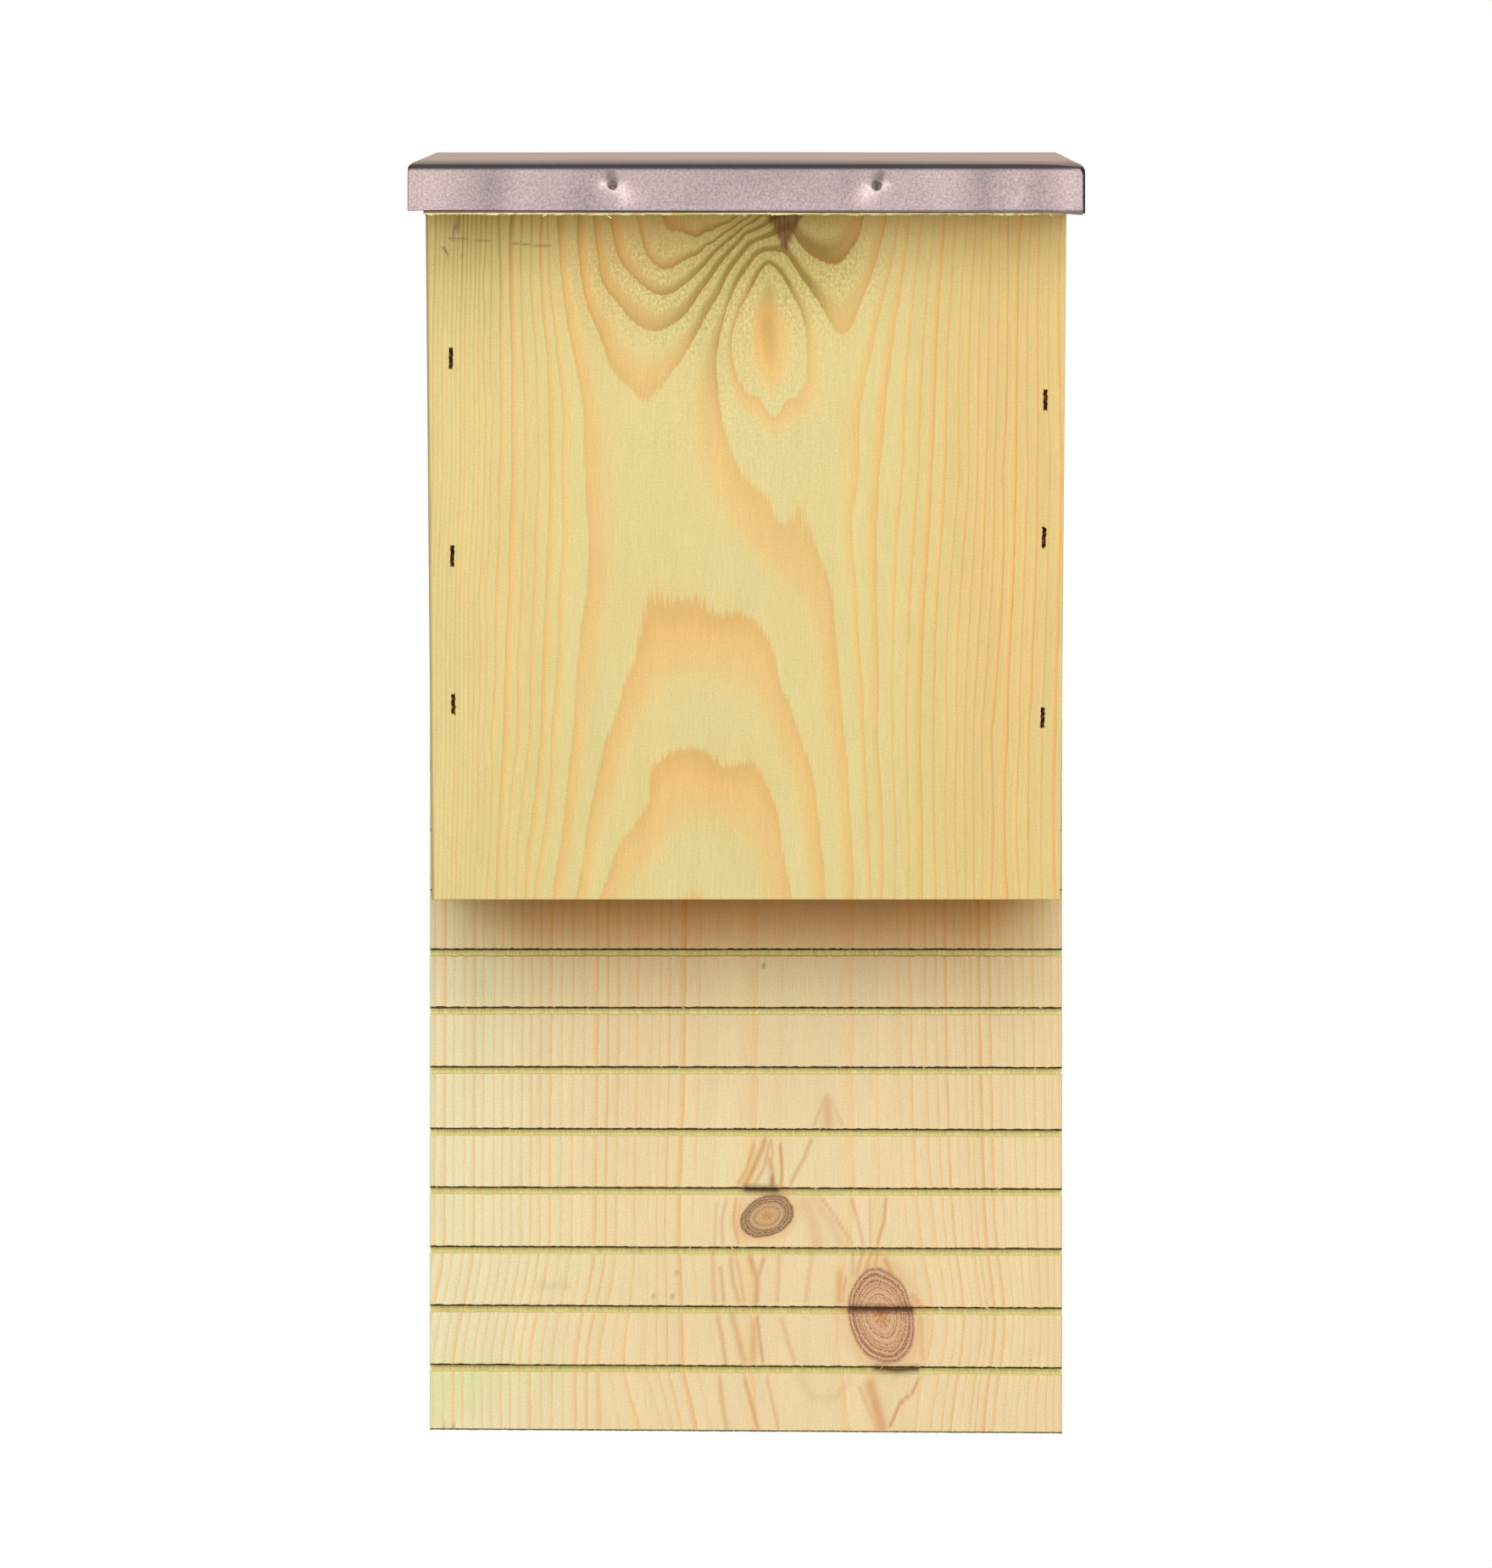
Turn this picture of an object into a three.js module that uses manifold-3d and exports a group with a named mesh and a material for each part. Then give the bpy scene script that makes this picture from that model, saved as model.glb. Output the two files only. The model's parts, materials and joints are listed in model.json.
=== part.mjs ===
// Bat box for a wall: a wedge-shaped pine roost, open below, on a tall back panel whose saw kerfs are a landing ladder.
// A sloping pine roof board closes the top, under a folded cap of galvanised sheet.
// Millimetres, +Z up. The wall is the plane y = 0 and the front faces -Y.
// The origin is the middle of the back panel's rear face.
import * as THREE from "three";
import { mergeVertices } from "three/addons/utils/BufferGeometryUtils.js";
import Module from "manifold-3d";

const wasm = await Module();
wasm.setup();

// Body: front panel and sides
const bodyWidth = 176.4;
const frontThickness = 12;
const sideThickness = 12;
const landingHeight = 154.6; // from the lower end up to the entrance
const entranceGap = 22; // from the back panel to the front panel's inner lower edge

// Back panel
const backReveal = 1.8; // how far it stands out past the body at each side
const backHeight = 351.6; // at the rear face
const backThickness = 12;
const backEndDrop = 1.1; // the lower end is sawn out of square, lower at the right

// Kerfs of the landing ladder, which go on up inside the roost
const kerfHeight = 2.3;
const kerfDepth = 2;
const kerfPitch = 16.96;
const lowestKerf = 17.8; // from the lower end to the middle of the lowest kerf
const landingKerfs = 8;
const innerKerfMargin = 23.4; // plain wood left between the highest kerf and the roof board
const kerfFanAngle = 0.048; // degrees: each landing kerf leans this much more than the one above it
const kerfStrayShares = [0, 0, -0.01, -0.01, -0.02, 0.02, 0.02, 0]; // of the pitch, from the lowest kerf up

// Keyhole in the back panel's rear face, entered below and hung from above
const keyholeDrop = 45; // from the upper end to the middle of the screw that it hangs on
const keyholeTravel = 12; // from the entry up to that place
const keyholeDepth = 6.5;
const keyholeLip = 2.5; // wood that the screw's head hooks behind
const keyholeHeadRadius = 4.8;
const keyholeShankRadius = 2.5;

// Roof board
const roofDepth = 105; // from the wall to the face of the cap's lip
const roofSlope = 6.2; // degrees, down to the front
const roofOverhang = 16; // from the front panel's upper edge to the face of the lip
const roofBoardThickness = 12.6;
const roofBoardEase = 1.2; // chamfer along its upper front edge, for the fold of the cap

// Sheet cap
const sheet = 0.6;
const capReach = 4.3; // how far the lip runs out past the body at each side
const capHug = 0.6; // gap left between each side flange and the roof board at the wall
const capDrop = 12.8; // height of the lip and of the side flanges
const capFold = 1.2; // outer radius of the folds
const capFoldSteps = 5;
const cornerRelief = 1.5; // how far a side flange stops behind the face of the lip
const cornerWeb = 1; // uncut height between a corner's slit and the fold

// Dimples and nails in the lip
const nailSpacing = 72.3;
const nailOffset = -0.4; // of the pair, to the left
const nailDrop = 5.8; // from the top of the lip to the nails
const nailHeadRadius = 1.25;
const nailHeadHeight = 0.5;
const nailRadius = 0.7;
const nailLength = 18;
const nailPoint = 2;
const dimpleRadius = 3.4;
const dimpleDepth = 0.7;
const dimpleFloor = 1.7; // radius of the flat that carries the nail head
const dimpleRim = 0.4; // ring of flat lip around the dimple
const roundSteps = 20;

// Staples: flat wire bent to a narrow crown
const crownLength = 5.8;
const wireHeight = 1; // along the crown's bend
const wireWidth = 1.25;
const legLength = 25;
const frontSink = 1.2; // how far the crowns lie under the surface
const frontStray = 0.6; // how far to the right of the side panels' middles the front staples went in
const rearSink = 0.4;
const roofSink = 0.3;
const leftFrontShares = [0.288, 0.504, 0.79]; // of the front panel's height, from its lower end
const rightFrontShares = [0.268, 0.531, 0.73];
const rearShares = [0.14, 0.5, 0.86]; // of a side panel's rear edge, from its lower end
const roofShares = [0.28, 0.72]; // of a side panel's upper end, from the wall

// Clearances
const seam = 0.2; // between boards that meet on a sloping or turned face
const fit = 0.3; // around staples and nails
const overrun = 5; // how far a cutter runs past what it cuts

// Where things lie, worked out from the sizes above
const lowerEnd = -backHeight / 2;
const upperEnd = backHeight / 2;
const slope = THREE.MathUtils.degToRad(roofSlope);
const rise = Math.tan(slope);
const roofBoardRise = roofBoardThickness / Math.cos(slope); // its height measured upright
const sheetRise = sheet / Math.cos(slope);
const underside = (y) => upperEnd + y * rise; // height of the roof board's lower face
const capTop = (y) => underside(y) + seam + roofBoardRise + seam + sheetRise;
const sideCentre = bodyWidth / 2 - sideThickness / 2;
const backWidth = bodyWidth + 2 * backReveal;
const capWidth = bodyWidth + 2 * capReach;
const capToeIn = capReach - sheet - capHug; // how far each side flange closes in towards the wall

const entranceZ = lowerEnd + landingHeight;
const innerLower = new THREE.Vector2(-backThickness - entranceGap, entranceZ); // y and z
const outerUpperY = -(roofDepth - roofOverhang);
const toUpper = new THREE.Vector2(outerUpperY, underside(outerUpperY)).sub(innerLower);
const lean =
  Math.atan2(-toUpper.x, toUpper.y) - Math.asin(frontThickness / toUpper.length());
const up = new THREE.Vector2(-Math.sin(lean), Math.cos(lean)); // along the front panel's face
const out = new THREE.Vector2(-Math.cos(lean), -Math.sin(lean)); // square to it, away from the wall
const frontLength = toUpper.dot(up); // of the outer face

// A closed geometry as a solid that can be joined and cut.
function solid(geometry, matrix = new THREE.Matrix4()) {
  const plain = geometry.clone().applyMatrix4(matrix);
  plain.deleteAttribute("normal");
  plain.deleteAttribute("uv");
  const merged = mergeVertices(plain);
  const data = {
    numProp: 3,
    vertProperties: merged.attributes.position.array,
    triVerts: new Uint32Array(merged.index.array),
  };
  return new wasm.Manifold(new wasm.Mesh(data));
}

// A solid as a geometry for a mesh.
function geometryOf(shape) {
  const mesh = shape.getMesh();
  const geometry = new THREE.BufferGeometry();
  geometry.setAttribute("position", new THREE.BufferAttribute(mesh.vertProperties, 3));
  geometry.setIndex(new THREE.BufferAttribute(mesh.triVerts, 1));
  const flat = geometry.toNonIndexed();
  flat.computeVertexNormals();
  return flat;
}

// Turns a shape's own x, y and extrusion into world directions.
const basis = (x, y, z) => new THREE.Matrix4().makeBasis(x, y, z);
const axisX = new THREE.Vector3(1, 0, 0);
const axisY = new THREE.Vector3(0, 1, 0);
const axisZ = new THREE.Vector3(0, 0, 1);

function outline(points) {
  return new THREE.Shape(points.map(([a, b]) => new THREE.Vector2(a, b)));
}

// An outline in y and z, carried across from x = from to x = to.
function across(points, from, to) {
  const depth = to - from;
  const geometry = new THREE.ExtrudeGeometry(outline(points), { depth, bevelEnabled: false });
  return geometry.applyMatrix4(basis(axisY, axisZ, axisX)).translate(from, 0, 0);
}

// An outline in x and z, carried from the wall side y = near to the front side y = far.
function forward(points, near, far) {
  const depth = near - far;
  const geometry = new THREE.ExtrudeGeometry(outline(points), { depth, bevelEnabled: false });
  return geometry.applyMatrix4(basis(axisX, axisZ, axisY.clone().negate())).translate(0, near, 0);
}

// Everything under the roof board, which every board below it is trimmed to.
function underRoof() {
  const near = overrun;
  const far = -roofDepth - overrun;
  const low = lowerEnd - overrun;
  const points = [[near, low], [near, underside(near)], [far, underside(far)], [far, low]];
  return solid(across(points, -capWidth, capWidth));
}

// Points along an arc, from an angle through a sweep.
function arc(centreA, centreB, radius, start, sweep, steps) {
  return Array.from({ length: steps + 1 }, (_, i) => {
    const angle = start + (sweep * i) / steps;
    return [centreA + radius * Math.cos(angle), centreB + radius * Math.sin(angle)];
  });
}

// A quarter or less of a circle, as a fold of the cap.
const bend = (centreA, centreB, radius, start, sweep) =>
  arc(centreA, centreB, radius, start, sweep, capFoldSteps);

// An upright slot with round ends on the middle line, cut in from behind the wall face.
function slot(radius, low, high, near, far) {
  const points = [
    ...arc(0, high, radius, 0, Math.PI, roundSteps / 2),
    ...arc(0, low, radius, Math.PI, Math.PI, roundSteps / 2),
  ];
  return solid(forward(points, near, far));
}

function keyhole() {
  const seat = upperEnd - keyholeDrop;
  const entry = seat - keyholeTravel;
  const mouth = slot(keyholeShankRadius, entry, seat, overrun, -keyholeDepth);
  const hollow = slot(keyholeHeadRadius, entry, seat, -keyholeLip, -keyholeDepth);
  const hole = slot(keyholeHeadRadius, entry, entry, overrun, -keyholeDepth);
  return mouth.add(hollow).add(hole);
}

// Middle height of each kerf, with its lean in radians, from the lowest up.
function kerfPlaces() {
  const places = [];
  const highest = underside(-backThickness) - innerKerfMargin;
  for (let i = 0; lowerEnd + lowestKerf + i * kerfPitch < highest; i += 1) {
    const stray = (kerfStrayShares[i] ?? 0) * kerfPitch;
    const below = Math.max(landingKerfs - 1 - i, 0);
    const z = lowerEnd + lowestKerf + i * kerfPitch + stray;
    places.push({ z, lean: THREE.MathUtils.degToRad(kerfFanAngle * below) });
  }
  return places;
}

function backPanelSolid() {
  const half = backWidth / 2;
  const drop = backEndDrop / 2;
  const points = [
    [-half, lowerEnd + drop],
    [half, lowerEnd - drop],
    [half, upperEnd + overrun],
    [-half, upperEnd + overrun],
  ];
  let board = solid(forward(points, 0, -backThickness)).intersect(underRoof());
  for (const kerf of kerfPlaces()) {
    const cutDepth = kerfDepth + overrun;
    const cutter = new THREE.BoxGeometry(backWidth + 2 * overrun, cutDepth, kerfHeight);
    const turned = new THREE.Matrix4().makeRotationY(kerf.lean);
    turned.setPosition(0, -backThickness + kerfDepth - cutDepth / 2, kerf.z);
    board = board.subtract(solid(cutter, turned));
  }
  return board.subtract(keyhole());
}

// A point in y and z on the front panel: this far up its face and this far out of its inner face.
function onFront(along, outward) {
  return [
    innerLower.x + up.x * along + out.x * outward,
    innerLower.y + up.y * along + out.y * outward,
  ];
}

function frontPanelSolid() {
  const top = frontLength + roofBoardThickness;
  const points = [
    onFront(0, 0),
    onFront(0, frontThickness),
    onFront(top, frontThickness),
    onFront(top, 0),
  ].reverse();
  const board = solid(across(points, -bodyWidth / 2, bodyWidth / 2));
  return board.intersect(underRoof());
}

function sidePanelSolid(side) {
  const rear = -backThickness;
  const top = frontLength + roofBoardThickness;
  const points = [
    [rear, entranceZ],
    [rear, upperEnd + roofBoardThickness],
    onFront(top, -seam),
    onFront(0, -seam),
  ];
  const outer = side * (bodyWidth / 2);
  const inner = side * (bodyWidth / 2 - sideThickness);
  const board = solid(across(points.reverse(), Math.min(inner, outer), Math.max(inner, outer)));
  return board.intersect(underRoof());
}

// Places of the two nails in the lip.
const lipTop = capTop(-roofDepth);
const nailPlaces = [-1, 1].map((side) => ({
  x: nailOffset + (side * nailSpacing) / 2,
  z: lipTop - nailDrop,
}));

// A closed turned profile of [radius, y] points, around an upright through a nail.
function turned(profile, place) {
  const points = profile.map(([radius, y]) => new THREE.Vector2(radius, y));
  const geometry = new THREE.LatheGeometry(points, roundSteps);
  return solid(geometry, new THREE.Matrix4().makeTranslation(place.x, 0, place.z));
}

function roofBoardSolid() {
  const far = -(roofDepth - sheet - seam);
  const low = (y) => underside(y) + seam;
  const high = (y) => underside(y) + seam + roofBoardRise;
  const eased = far + roofBoardEase;
  const points = [
    [0, low(0)],
    [0, high(0)],
    [eased, high(eased)],
    [far, high(far) - roofBoardEase],
    [far, low(far)],
  ];
  let board = solid(across(points.reverse(), -bodyWidth / 2, bodyWidth / 2));
  for (const place of nailPlaces) {
    const dent = [
      [0, far - overrun],
      [dimpleRadius + dimpleRim, far - overrun],
      [dimpleRadius + dimpleRim, far],
      [dimpleFloor + fit, far + dimpleDepth + fit],
      [0, far + dimpleDepth + fit],
    ];
    const hole = [
      [0, far],
      [nailRadius + fit, far],
      [nailRadius + fit, -roofDepth + dimpleDepth + nailLength + fit],
      [0, -roofDepth + dimpleDepth + nailLength + fit],
    ];
    board = board.subtract(turned(dent, place)).subtract(turned(hole, place));
  }
  return board;
}

// The space within the cap's outer faces (inset 0) or its inner faces (inset one sheet), down to a depth under its top.
function capEnvelope(inset, depth, reach) {
  const radius = capFold - inset;
  const half = capWidth / 2 - inset;
  const insetRise = inset / Math.cos(slope);
  const front = -roofDepth + inset;
  const top = (y) => capTop(y) - insetRise;

  // Seen from the side: a band that follows the slope, with the fold over the lip at its front.
  const foldY = front + radius;
  const foldZ = top(foldY) - radius / Math.cos(slope);
  const fold = bend(foldY, foldZ, radius, Math.PI / 2 + slope, Math.PI / 2 - slope);
  const side = [
    [reach, top(reach) - depth],
    [reach, top(reach)],
    ...fold,
    [front, top(front) - depth],
  ];
  const band = solid(across(side.reverse(), -capWidth, capWidth));

  // Seen from the front: an arch with folded shoulders, whose halves close in towards the wall.
  const level = -radius;
  const arch = [
    [half, -depth - backHeight],
    ...bend(half - radius, level, radius, 0, Math.PI / 2),
    ...bend(radius - half, level, radius, Math.PI / 2, Math.PI / 2),
    [-half, -depth - backHeight],
  ];
  const geometry = forward(arch, overrun, -roofDepth - overrun);
  const place = geometry.attributes.position;
  for (let i = 0; i < place.count; i += 1) {
    const y = place.getY(i);
    const closeIn = (capToeIn * (y + roofDepth)) / roofDepth;
    place.setX(i, place.getX(i) - Math.sign(place.getX(i)) * closeIn);
    place.setZ(i, place.getZ(i) + top(y));
  }
  return band.intersect(solid(geometry));
}

function roofCapSolid() {
  const inside = capEnvelope(sheet, capDrop + overrun, overrun);
  let cap = capEnvelope(0, capDrop, 0).subtract(inside);

  // Slits where the flanges were folded down past the ends of the lip.
  const slitTop = lipTop - capFold - cornerWeb;
  const slitHeight = capDrop + overrun;
  const slitDepth = cornerRelief + overrun;
  for (const side of [-1, 1]) {
    const cutter = new THREE.BoxGeometry(sheet + overrun, slitDepth, slitHeight);
    const x = side * (capWidth / 2 - sheet + (sheet + overrun) / 2);
    const y = -roofDepth + cornerRelief - slitDepth / 2;
    const place = new THREE.Matrix4().makeTranslation(x, y, slitTop - slitHeight / 2);
    cap = cap.subtract(solid(cutter, place));
  }

  // Dimples pressed in by the nails: a hole in the lip, filled by a dish with a hole for the shank.
  const face = -roofDepth;
  for (const place of nailPlaces) {
    const opening = [
      [0, face - overrun],
      [dimpleRadius, face - overrun],
      [dimpleRadius, face + sheet + overrun],
      [0, face + sheet + overrun],
    ];
    const dish = [
      [nailRadius + fit, face + dimpleDepth],
      [dimpleFloor, face + dimpleDepth],
      [dimpleRadius, face],
      [dimpleRadius + dimpleRim, face],
      [dimpleRadius + dimpleRim, face + sheet],
      [dimpleRadius, face + sheet],
      [dimpleFloor, face + dimpleDepth + sheet],
      [nailRadius + fit, face + dimpleDepth + sheet],
      [nailRadius + fit, face + dimpleDepth],
    ];
    cap = cap.subtract(turned(opening, place)).add(turned(dish, place));
  }
  return cap;
}

function nailSolid(place) {
  const seat = -roofDepth + dimpleDepth;
  const profile = [
    [0, seat - nailHeadHeight],
    [nailHeadRadius * Math.cos(slope), seat - nailHeadHeight],
    [nailHeadRadius, seat],
    [nailRadius, seat],
    [nailRadius, seat + nailLength - nailPoint],
    [0, seat + nailLength],
  ];
  return turned(profile, place);
}

// A staple's outline, grown all round and with its crown side carried outwards by reach.
function stapleSolid(grow, reach, matrix) {
  const half = crownLength / 2 + grow;
  const inner = crownLength / 2 - wireHeight - grow;
  const back = -grow - reach;
  const bendInside = wireHeight + grow;
  const tip = legLength + grow;
  const points = [
    [-half, back],
    [half, back],
    [half, tip - wireHeight],
    [inner, tip],
    [inner, bendInside],
    [-inner, bendInside],
    [-inner, tip],
    [-half, tip - wireHeight],
  ];
  const depth = wireWidth + 2 * grow;
  const geometry = new THREE.ExtrudeGeometry(outline(points), { depth, bevelEnabled: false });
  return solid(geometry.translate(0, 0, -depth / 2), matrix);
}

// Where each staple lies: its crown's direction, its legs' direction and the middle of its crown's outer face.
function placed(crown, legs, x, y, z) {
  const flat = new THREE.Vector3().crossVectors(crown, legs);
  return basis(crown, legs, flat).setPosition(x, y, z);
}

function frontStaples() {
  const crown = new THREE.Vector3(0, up.x, up.y);
  const legs = new THREE.Vector3(0, -out.x, -out.y);
  const staples = [];
  for (const [side, word, shares] of [[-1, "left", leftFrontShares], [1, "right", rightFrontShares]]) {
    shares.forEach((share, i) => {
      const [y, z] = onFront(share * frontLength, frontThickness - frontSink);
      const matrix = placed(crown, legs, side * sideCentre + frontStray, y, z);
      staples.push({ name: `front_staple_${word}_${i + 1}`, side, matrix });
    });
  }
  return staples;
}

function rearStaples() {
  const edge = underside(-backThickness) - entranceZ;
  const legs = axisY.clone().negate();
  const staples = [];
  for (const [side, word] of [[-1, "left"], [1, "right"]]) {
    rearShares.forEach((share, i) => {
      const matrix = placed(axisZ, legs, side * sideCentre, -rearSink, entranceZ + share * edge);
      staples.push({ name: `rear_staple_${word}_${i + 1}`, side, matrix });
    });
  }
  return staples;
}

function roofStaples() {
  const crown = new THREE.Vector3(0, Math.cos(slope), Math.sin(slope));
  const legs = new THREE.Vector3(0, Math.sin(slope), -Math.cos(slope));
  const length = -outerUpperY - backThickness - frontThickness;
  const staples = [];
  for (const [side, word] of [[-1, "left"], [1, "right"]]) {
    roofShares.forEach((share, i) => {
      const y = -backThickness - share * length;
      const z = underside(y) + seam + roofBoardRise - roofSink / Math.cos(slope);
      const matrix = placed(crown, legs, side * sideCentre, y, z);
      staples.push({ name: `roof_staple_${word}_${i + 1}`, side, matrix });
    });
  }
  return staples;
}

// Cuts each staple's seat, open to the surface that it was driven through.
function seated(board, staples) {
  return staples.reduce(
    (left, staple) => left.subtract(stapleSolid(fit, overrun, staple.matrix)),
    board,
  );
}

// Finishes
const finish = (color, roughness, metalness) =>
  new THREE.MeshStandardMaterial({ color, roughness, metalness });
const frontPine = finish("#e6d291", 0.75, 0);
const backPine = finish("#efd8a3", 0.75, 0);
const sidePine = finish("#e2cf8d", 0.8, 0);
const galvanised = finish("#bfb0ae", 0.45, 1);
const nailSteel = finish("#a8a29d", 0.3, 1);
const stapleSteel = finish("#8d6b3f", 0.6, 1);

const box = new THREE.Group();

function add(name, shape, material) {
  const mesh = new THREE.Mesh(geometryOf(shape), material);
  mesh.name = name;
  box.add(mesh);
}

const front = frontStaples();
const rear = rearStaples();
const roof = roofStaples();
const onSide = (side) => [...front, ...rear, ...roof].filter((staple) => staple.side === side);

add("back_panel", seated(backPanelSolid(), rear), backPine);
add("front_panel", seated(frontPanelSolid(), front), frontPine);
add("side_panel_left", seated(sidePanelSolid(-1), onSide(-1)), sidePine);
add("side_panel_right", seated(sidePanelSolid(1), onSide(1)), sidePine);
add("roof_board", seated(roofBoardSolid(), roof), sidePine);
add("roof_cap", roofCapSolid(), galvanised);
nailPlaces.forEach((place, i) => add(`cap_nail_${["left", "right"][i]}`, nailSolid(place), nailSteel));
for (const staple of [...front, ...rear, ...roof]) {
  add(staple.name, stapleSolid(0, 0, staple.matrix), stapleSteel);
}

export default box;
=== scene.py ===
# %% [markdown]
# A bat box: planed pine boards under a folded cap of galvanised sheet.
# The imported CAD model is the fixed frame, with every board, nail and staple in its place.
# This lesson dresses it: the two boards that show get their growth rings, knots and saw kerfs,
# the cap gets the soft dents of thin sheet, and every other piece gets a finish of its own.

import json
import math
from functools import partial

import bmesh
import bpy
import numpy as np
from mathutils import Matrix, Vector

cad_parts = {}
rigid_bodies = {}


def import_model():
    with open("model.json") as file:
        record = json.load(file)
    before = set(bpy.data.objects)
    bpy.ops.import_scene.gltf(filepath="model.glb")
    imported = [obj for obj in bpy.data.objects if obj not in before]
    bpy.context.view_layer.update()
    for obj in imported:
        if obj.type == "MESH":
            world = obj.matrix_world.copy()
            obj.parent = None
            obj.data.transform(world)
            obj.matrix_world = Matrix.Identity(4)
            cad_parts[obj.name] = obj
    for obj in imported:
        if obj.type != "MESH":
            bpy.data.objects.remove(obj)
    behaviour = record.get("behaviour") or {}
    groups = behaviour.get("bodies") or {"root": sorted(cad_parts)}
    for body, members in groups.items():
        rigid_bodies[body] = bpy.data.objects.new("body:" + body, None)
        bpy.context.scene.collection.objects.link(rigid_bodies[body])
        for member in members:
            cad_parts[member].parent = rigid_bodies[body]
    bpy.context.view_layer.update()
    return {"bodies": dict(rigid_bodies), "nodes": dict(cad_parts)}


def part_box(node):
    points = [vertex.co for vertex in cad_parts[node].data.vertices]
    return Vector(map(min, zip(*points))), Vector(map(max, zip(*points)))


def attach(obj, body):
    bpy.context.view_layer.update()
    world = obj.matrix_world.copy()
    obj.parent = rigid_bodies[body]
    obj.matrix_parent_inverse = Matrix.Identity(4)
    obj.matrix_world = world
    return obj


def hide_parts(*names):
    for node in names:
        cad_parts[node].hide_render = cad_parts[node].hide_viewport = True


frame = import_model()

MM = 0.001
NEAR = 1e-5  # places closer together than this, a hundredth of a millimetre, count as the same
BODY = next(iter(frame["bodies"]))
nodes = frame["nodes"]

# %% [markdown]
# The camera comes first, because the wood's figure was traced in the photograph's own pixels.
# The photograph was taken level, straight at the front, from a good way off.
# A pixel is a line through the eye, and where that line meets a board is a place on the board.

# %% The camera
PHOTO_WIDTH = 1760
PHOTO_HEIGHT = 1850
EYE = np.array([0, -2333, 8.65]) * MM
FOCAL_PIXELS = 9618  # the lens's focal length, counted in pixels of the photograph
SENSOR = 36  # in mm, along the photograph's longer side


def make_camera():
    """A level camera that looks along +Y, with the photograph's own angle of view."""
    lens = bpy.data.cameras.new("photo_camera")
    lens.sensor_width = SENSOR
    lens.lens = SENSOR * FOCAL_PIXELS / PHOTO_HEIGHT
    camera = bpy.data.objects.new("photo_camera", lens)
    camera.location = EYE
    camera.rotation_euler = (math.pi / 2, 0, 0)
    bpy.context.scene.collection.objects.link(camera)
    bpy.context.scene.camera = camera
    return camera


camera = make_camera()
print("lens in mm:", round(camera.data.lens, 1))

# %% [markdown]
# Each board has its own ruler: a foot point on its lower front edge, a direction along the grain
# and one square out of its face. Both are measured from the CAD node, so they follow it.

# %% A ruler for each board
def points_of(piece):
    """All corners of a CAD node or of a new piece, as an array of points in metres."""
    points = np.zeros(len(piece.data.vertices) * 3)
    piece.data.vertices.foreach_get("co", points)
    return points.reshape(-1, 3)


def seen_at(points):
    """Where world points show in the photograph, as pixel x and y: sideways over depth, times the lens."""
    spot = points - EYE
    reach = FOCAL_PIXELS / spot[..., 1]
    return PHOTO_WIDTH / 2 + spot[..., 0] * reach, PHOTO_HEIGHT / 2 - spot[..., 2] * reach


class Board:
    """A face of a board: its foot on the middle line, along the grain, and out of the face."""

    def __init__(self, foot, head):
        self.foot = np.array([0, foot[1], foot[2]])
        rise = np.array([0, head[1] - foot[1], head[2] - foot[2]])
        self.length = np.linalg.norm(rise)
        self.along = rise / self.length
        self.out = np.array([0, -self.along[2], self.along[1]])

    def place(self, points):
        """World points as board points: across, deep into the board, and up along the grain."""
        offset = points - self.foot
        return np.stack([points[..., 0], -offset @ self.out, offset @ self.along], -1)

    def world(self, across, deep, up):
        """Board points as world points."""
        across, deep, up = np.broadcast_arrays(across, deep, up)
        flat = self.foot - deep[..., None] * self.out + up[..., None] * self.along
        return flat + across[..., None] * np.array([1, 0, 0])

    def traced(self, pixels):
        """Pixels of the photograph as (across, up) on this face: the eye's line meets the plane."""
        pixels = np.asarray(pixels, float)
        right, down = pixels[:, 0] - PHOTO_WIDTH / 2, pixels[:, 1] - PHOTO_HEIGHT / 2
        ray = np.stack([right, np.full(len(pixels), float(FOCAL_PIXELS)), -down], -1)
        reach = ((self.foot - EYE) @ self.out) / (ray @ self.out)
        return self.place(EYE + ray * reach[:, None])[:, [0, 2]]


front_corners = points_of(nodes["front_panel"])
lowest = front_corners[np.argmin(front_corners[:, 2])]
foremost = front_corners[np.argmin(front_corners[:, 1])]
front_face = Board(lowest, foremost)
back_corners = points_of(nodes["back_panel"])
back_half = back_corners[:, 0].max()
back_front = back_corners[:, 1].min()
back_face = Board((0, back_front, 0), (0, back_front, back_corners[:, 2].max()))
lean = math.degrees(math.atan2(-front_face.along[1], front_face.along[2]))
print("front face in mm:", round(front_face.length / MM, 1), "lean in degrees:", round(lean, 2))
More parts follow.
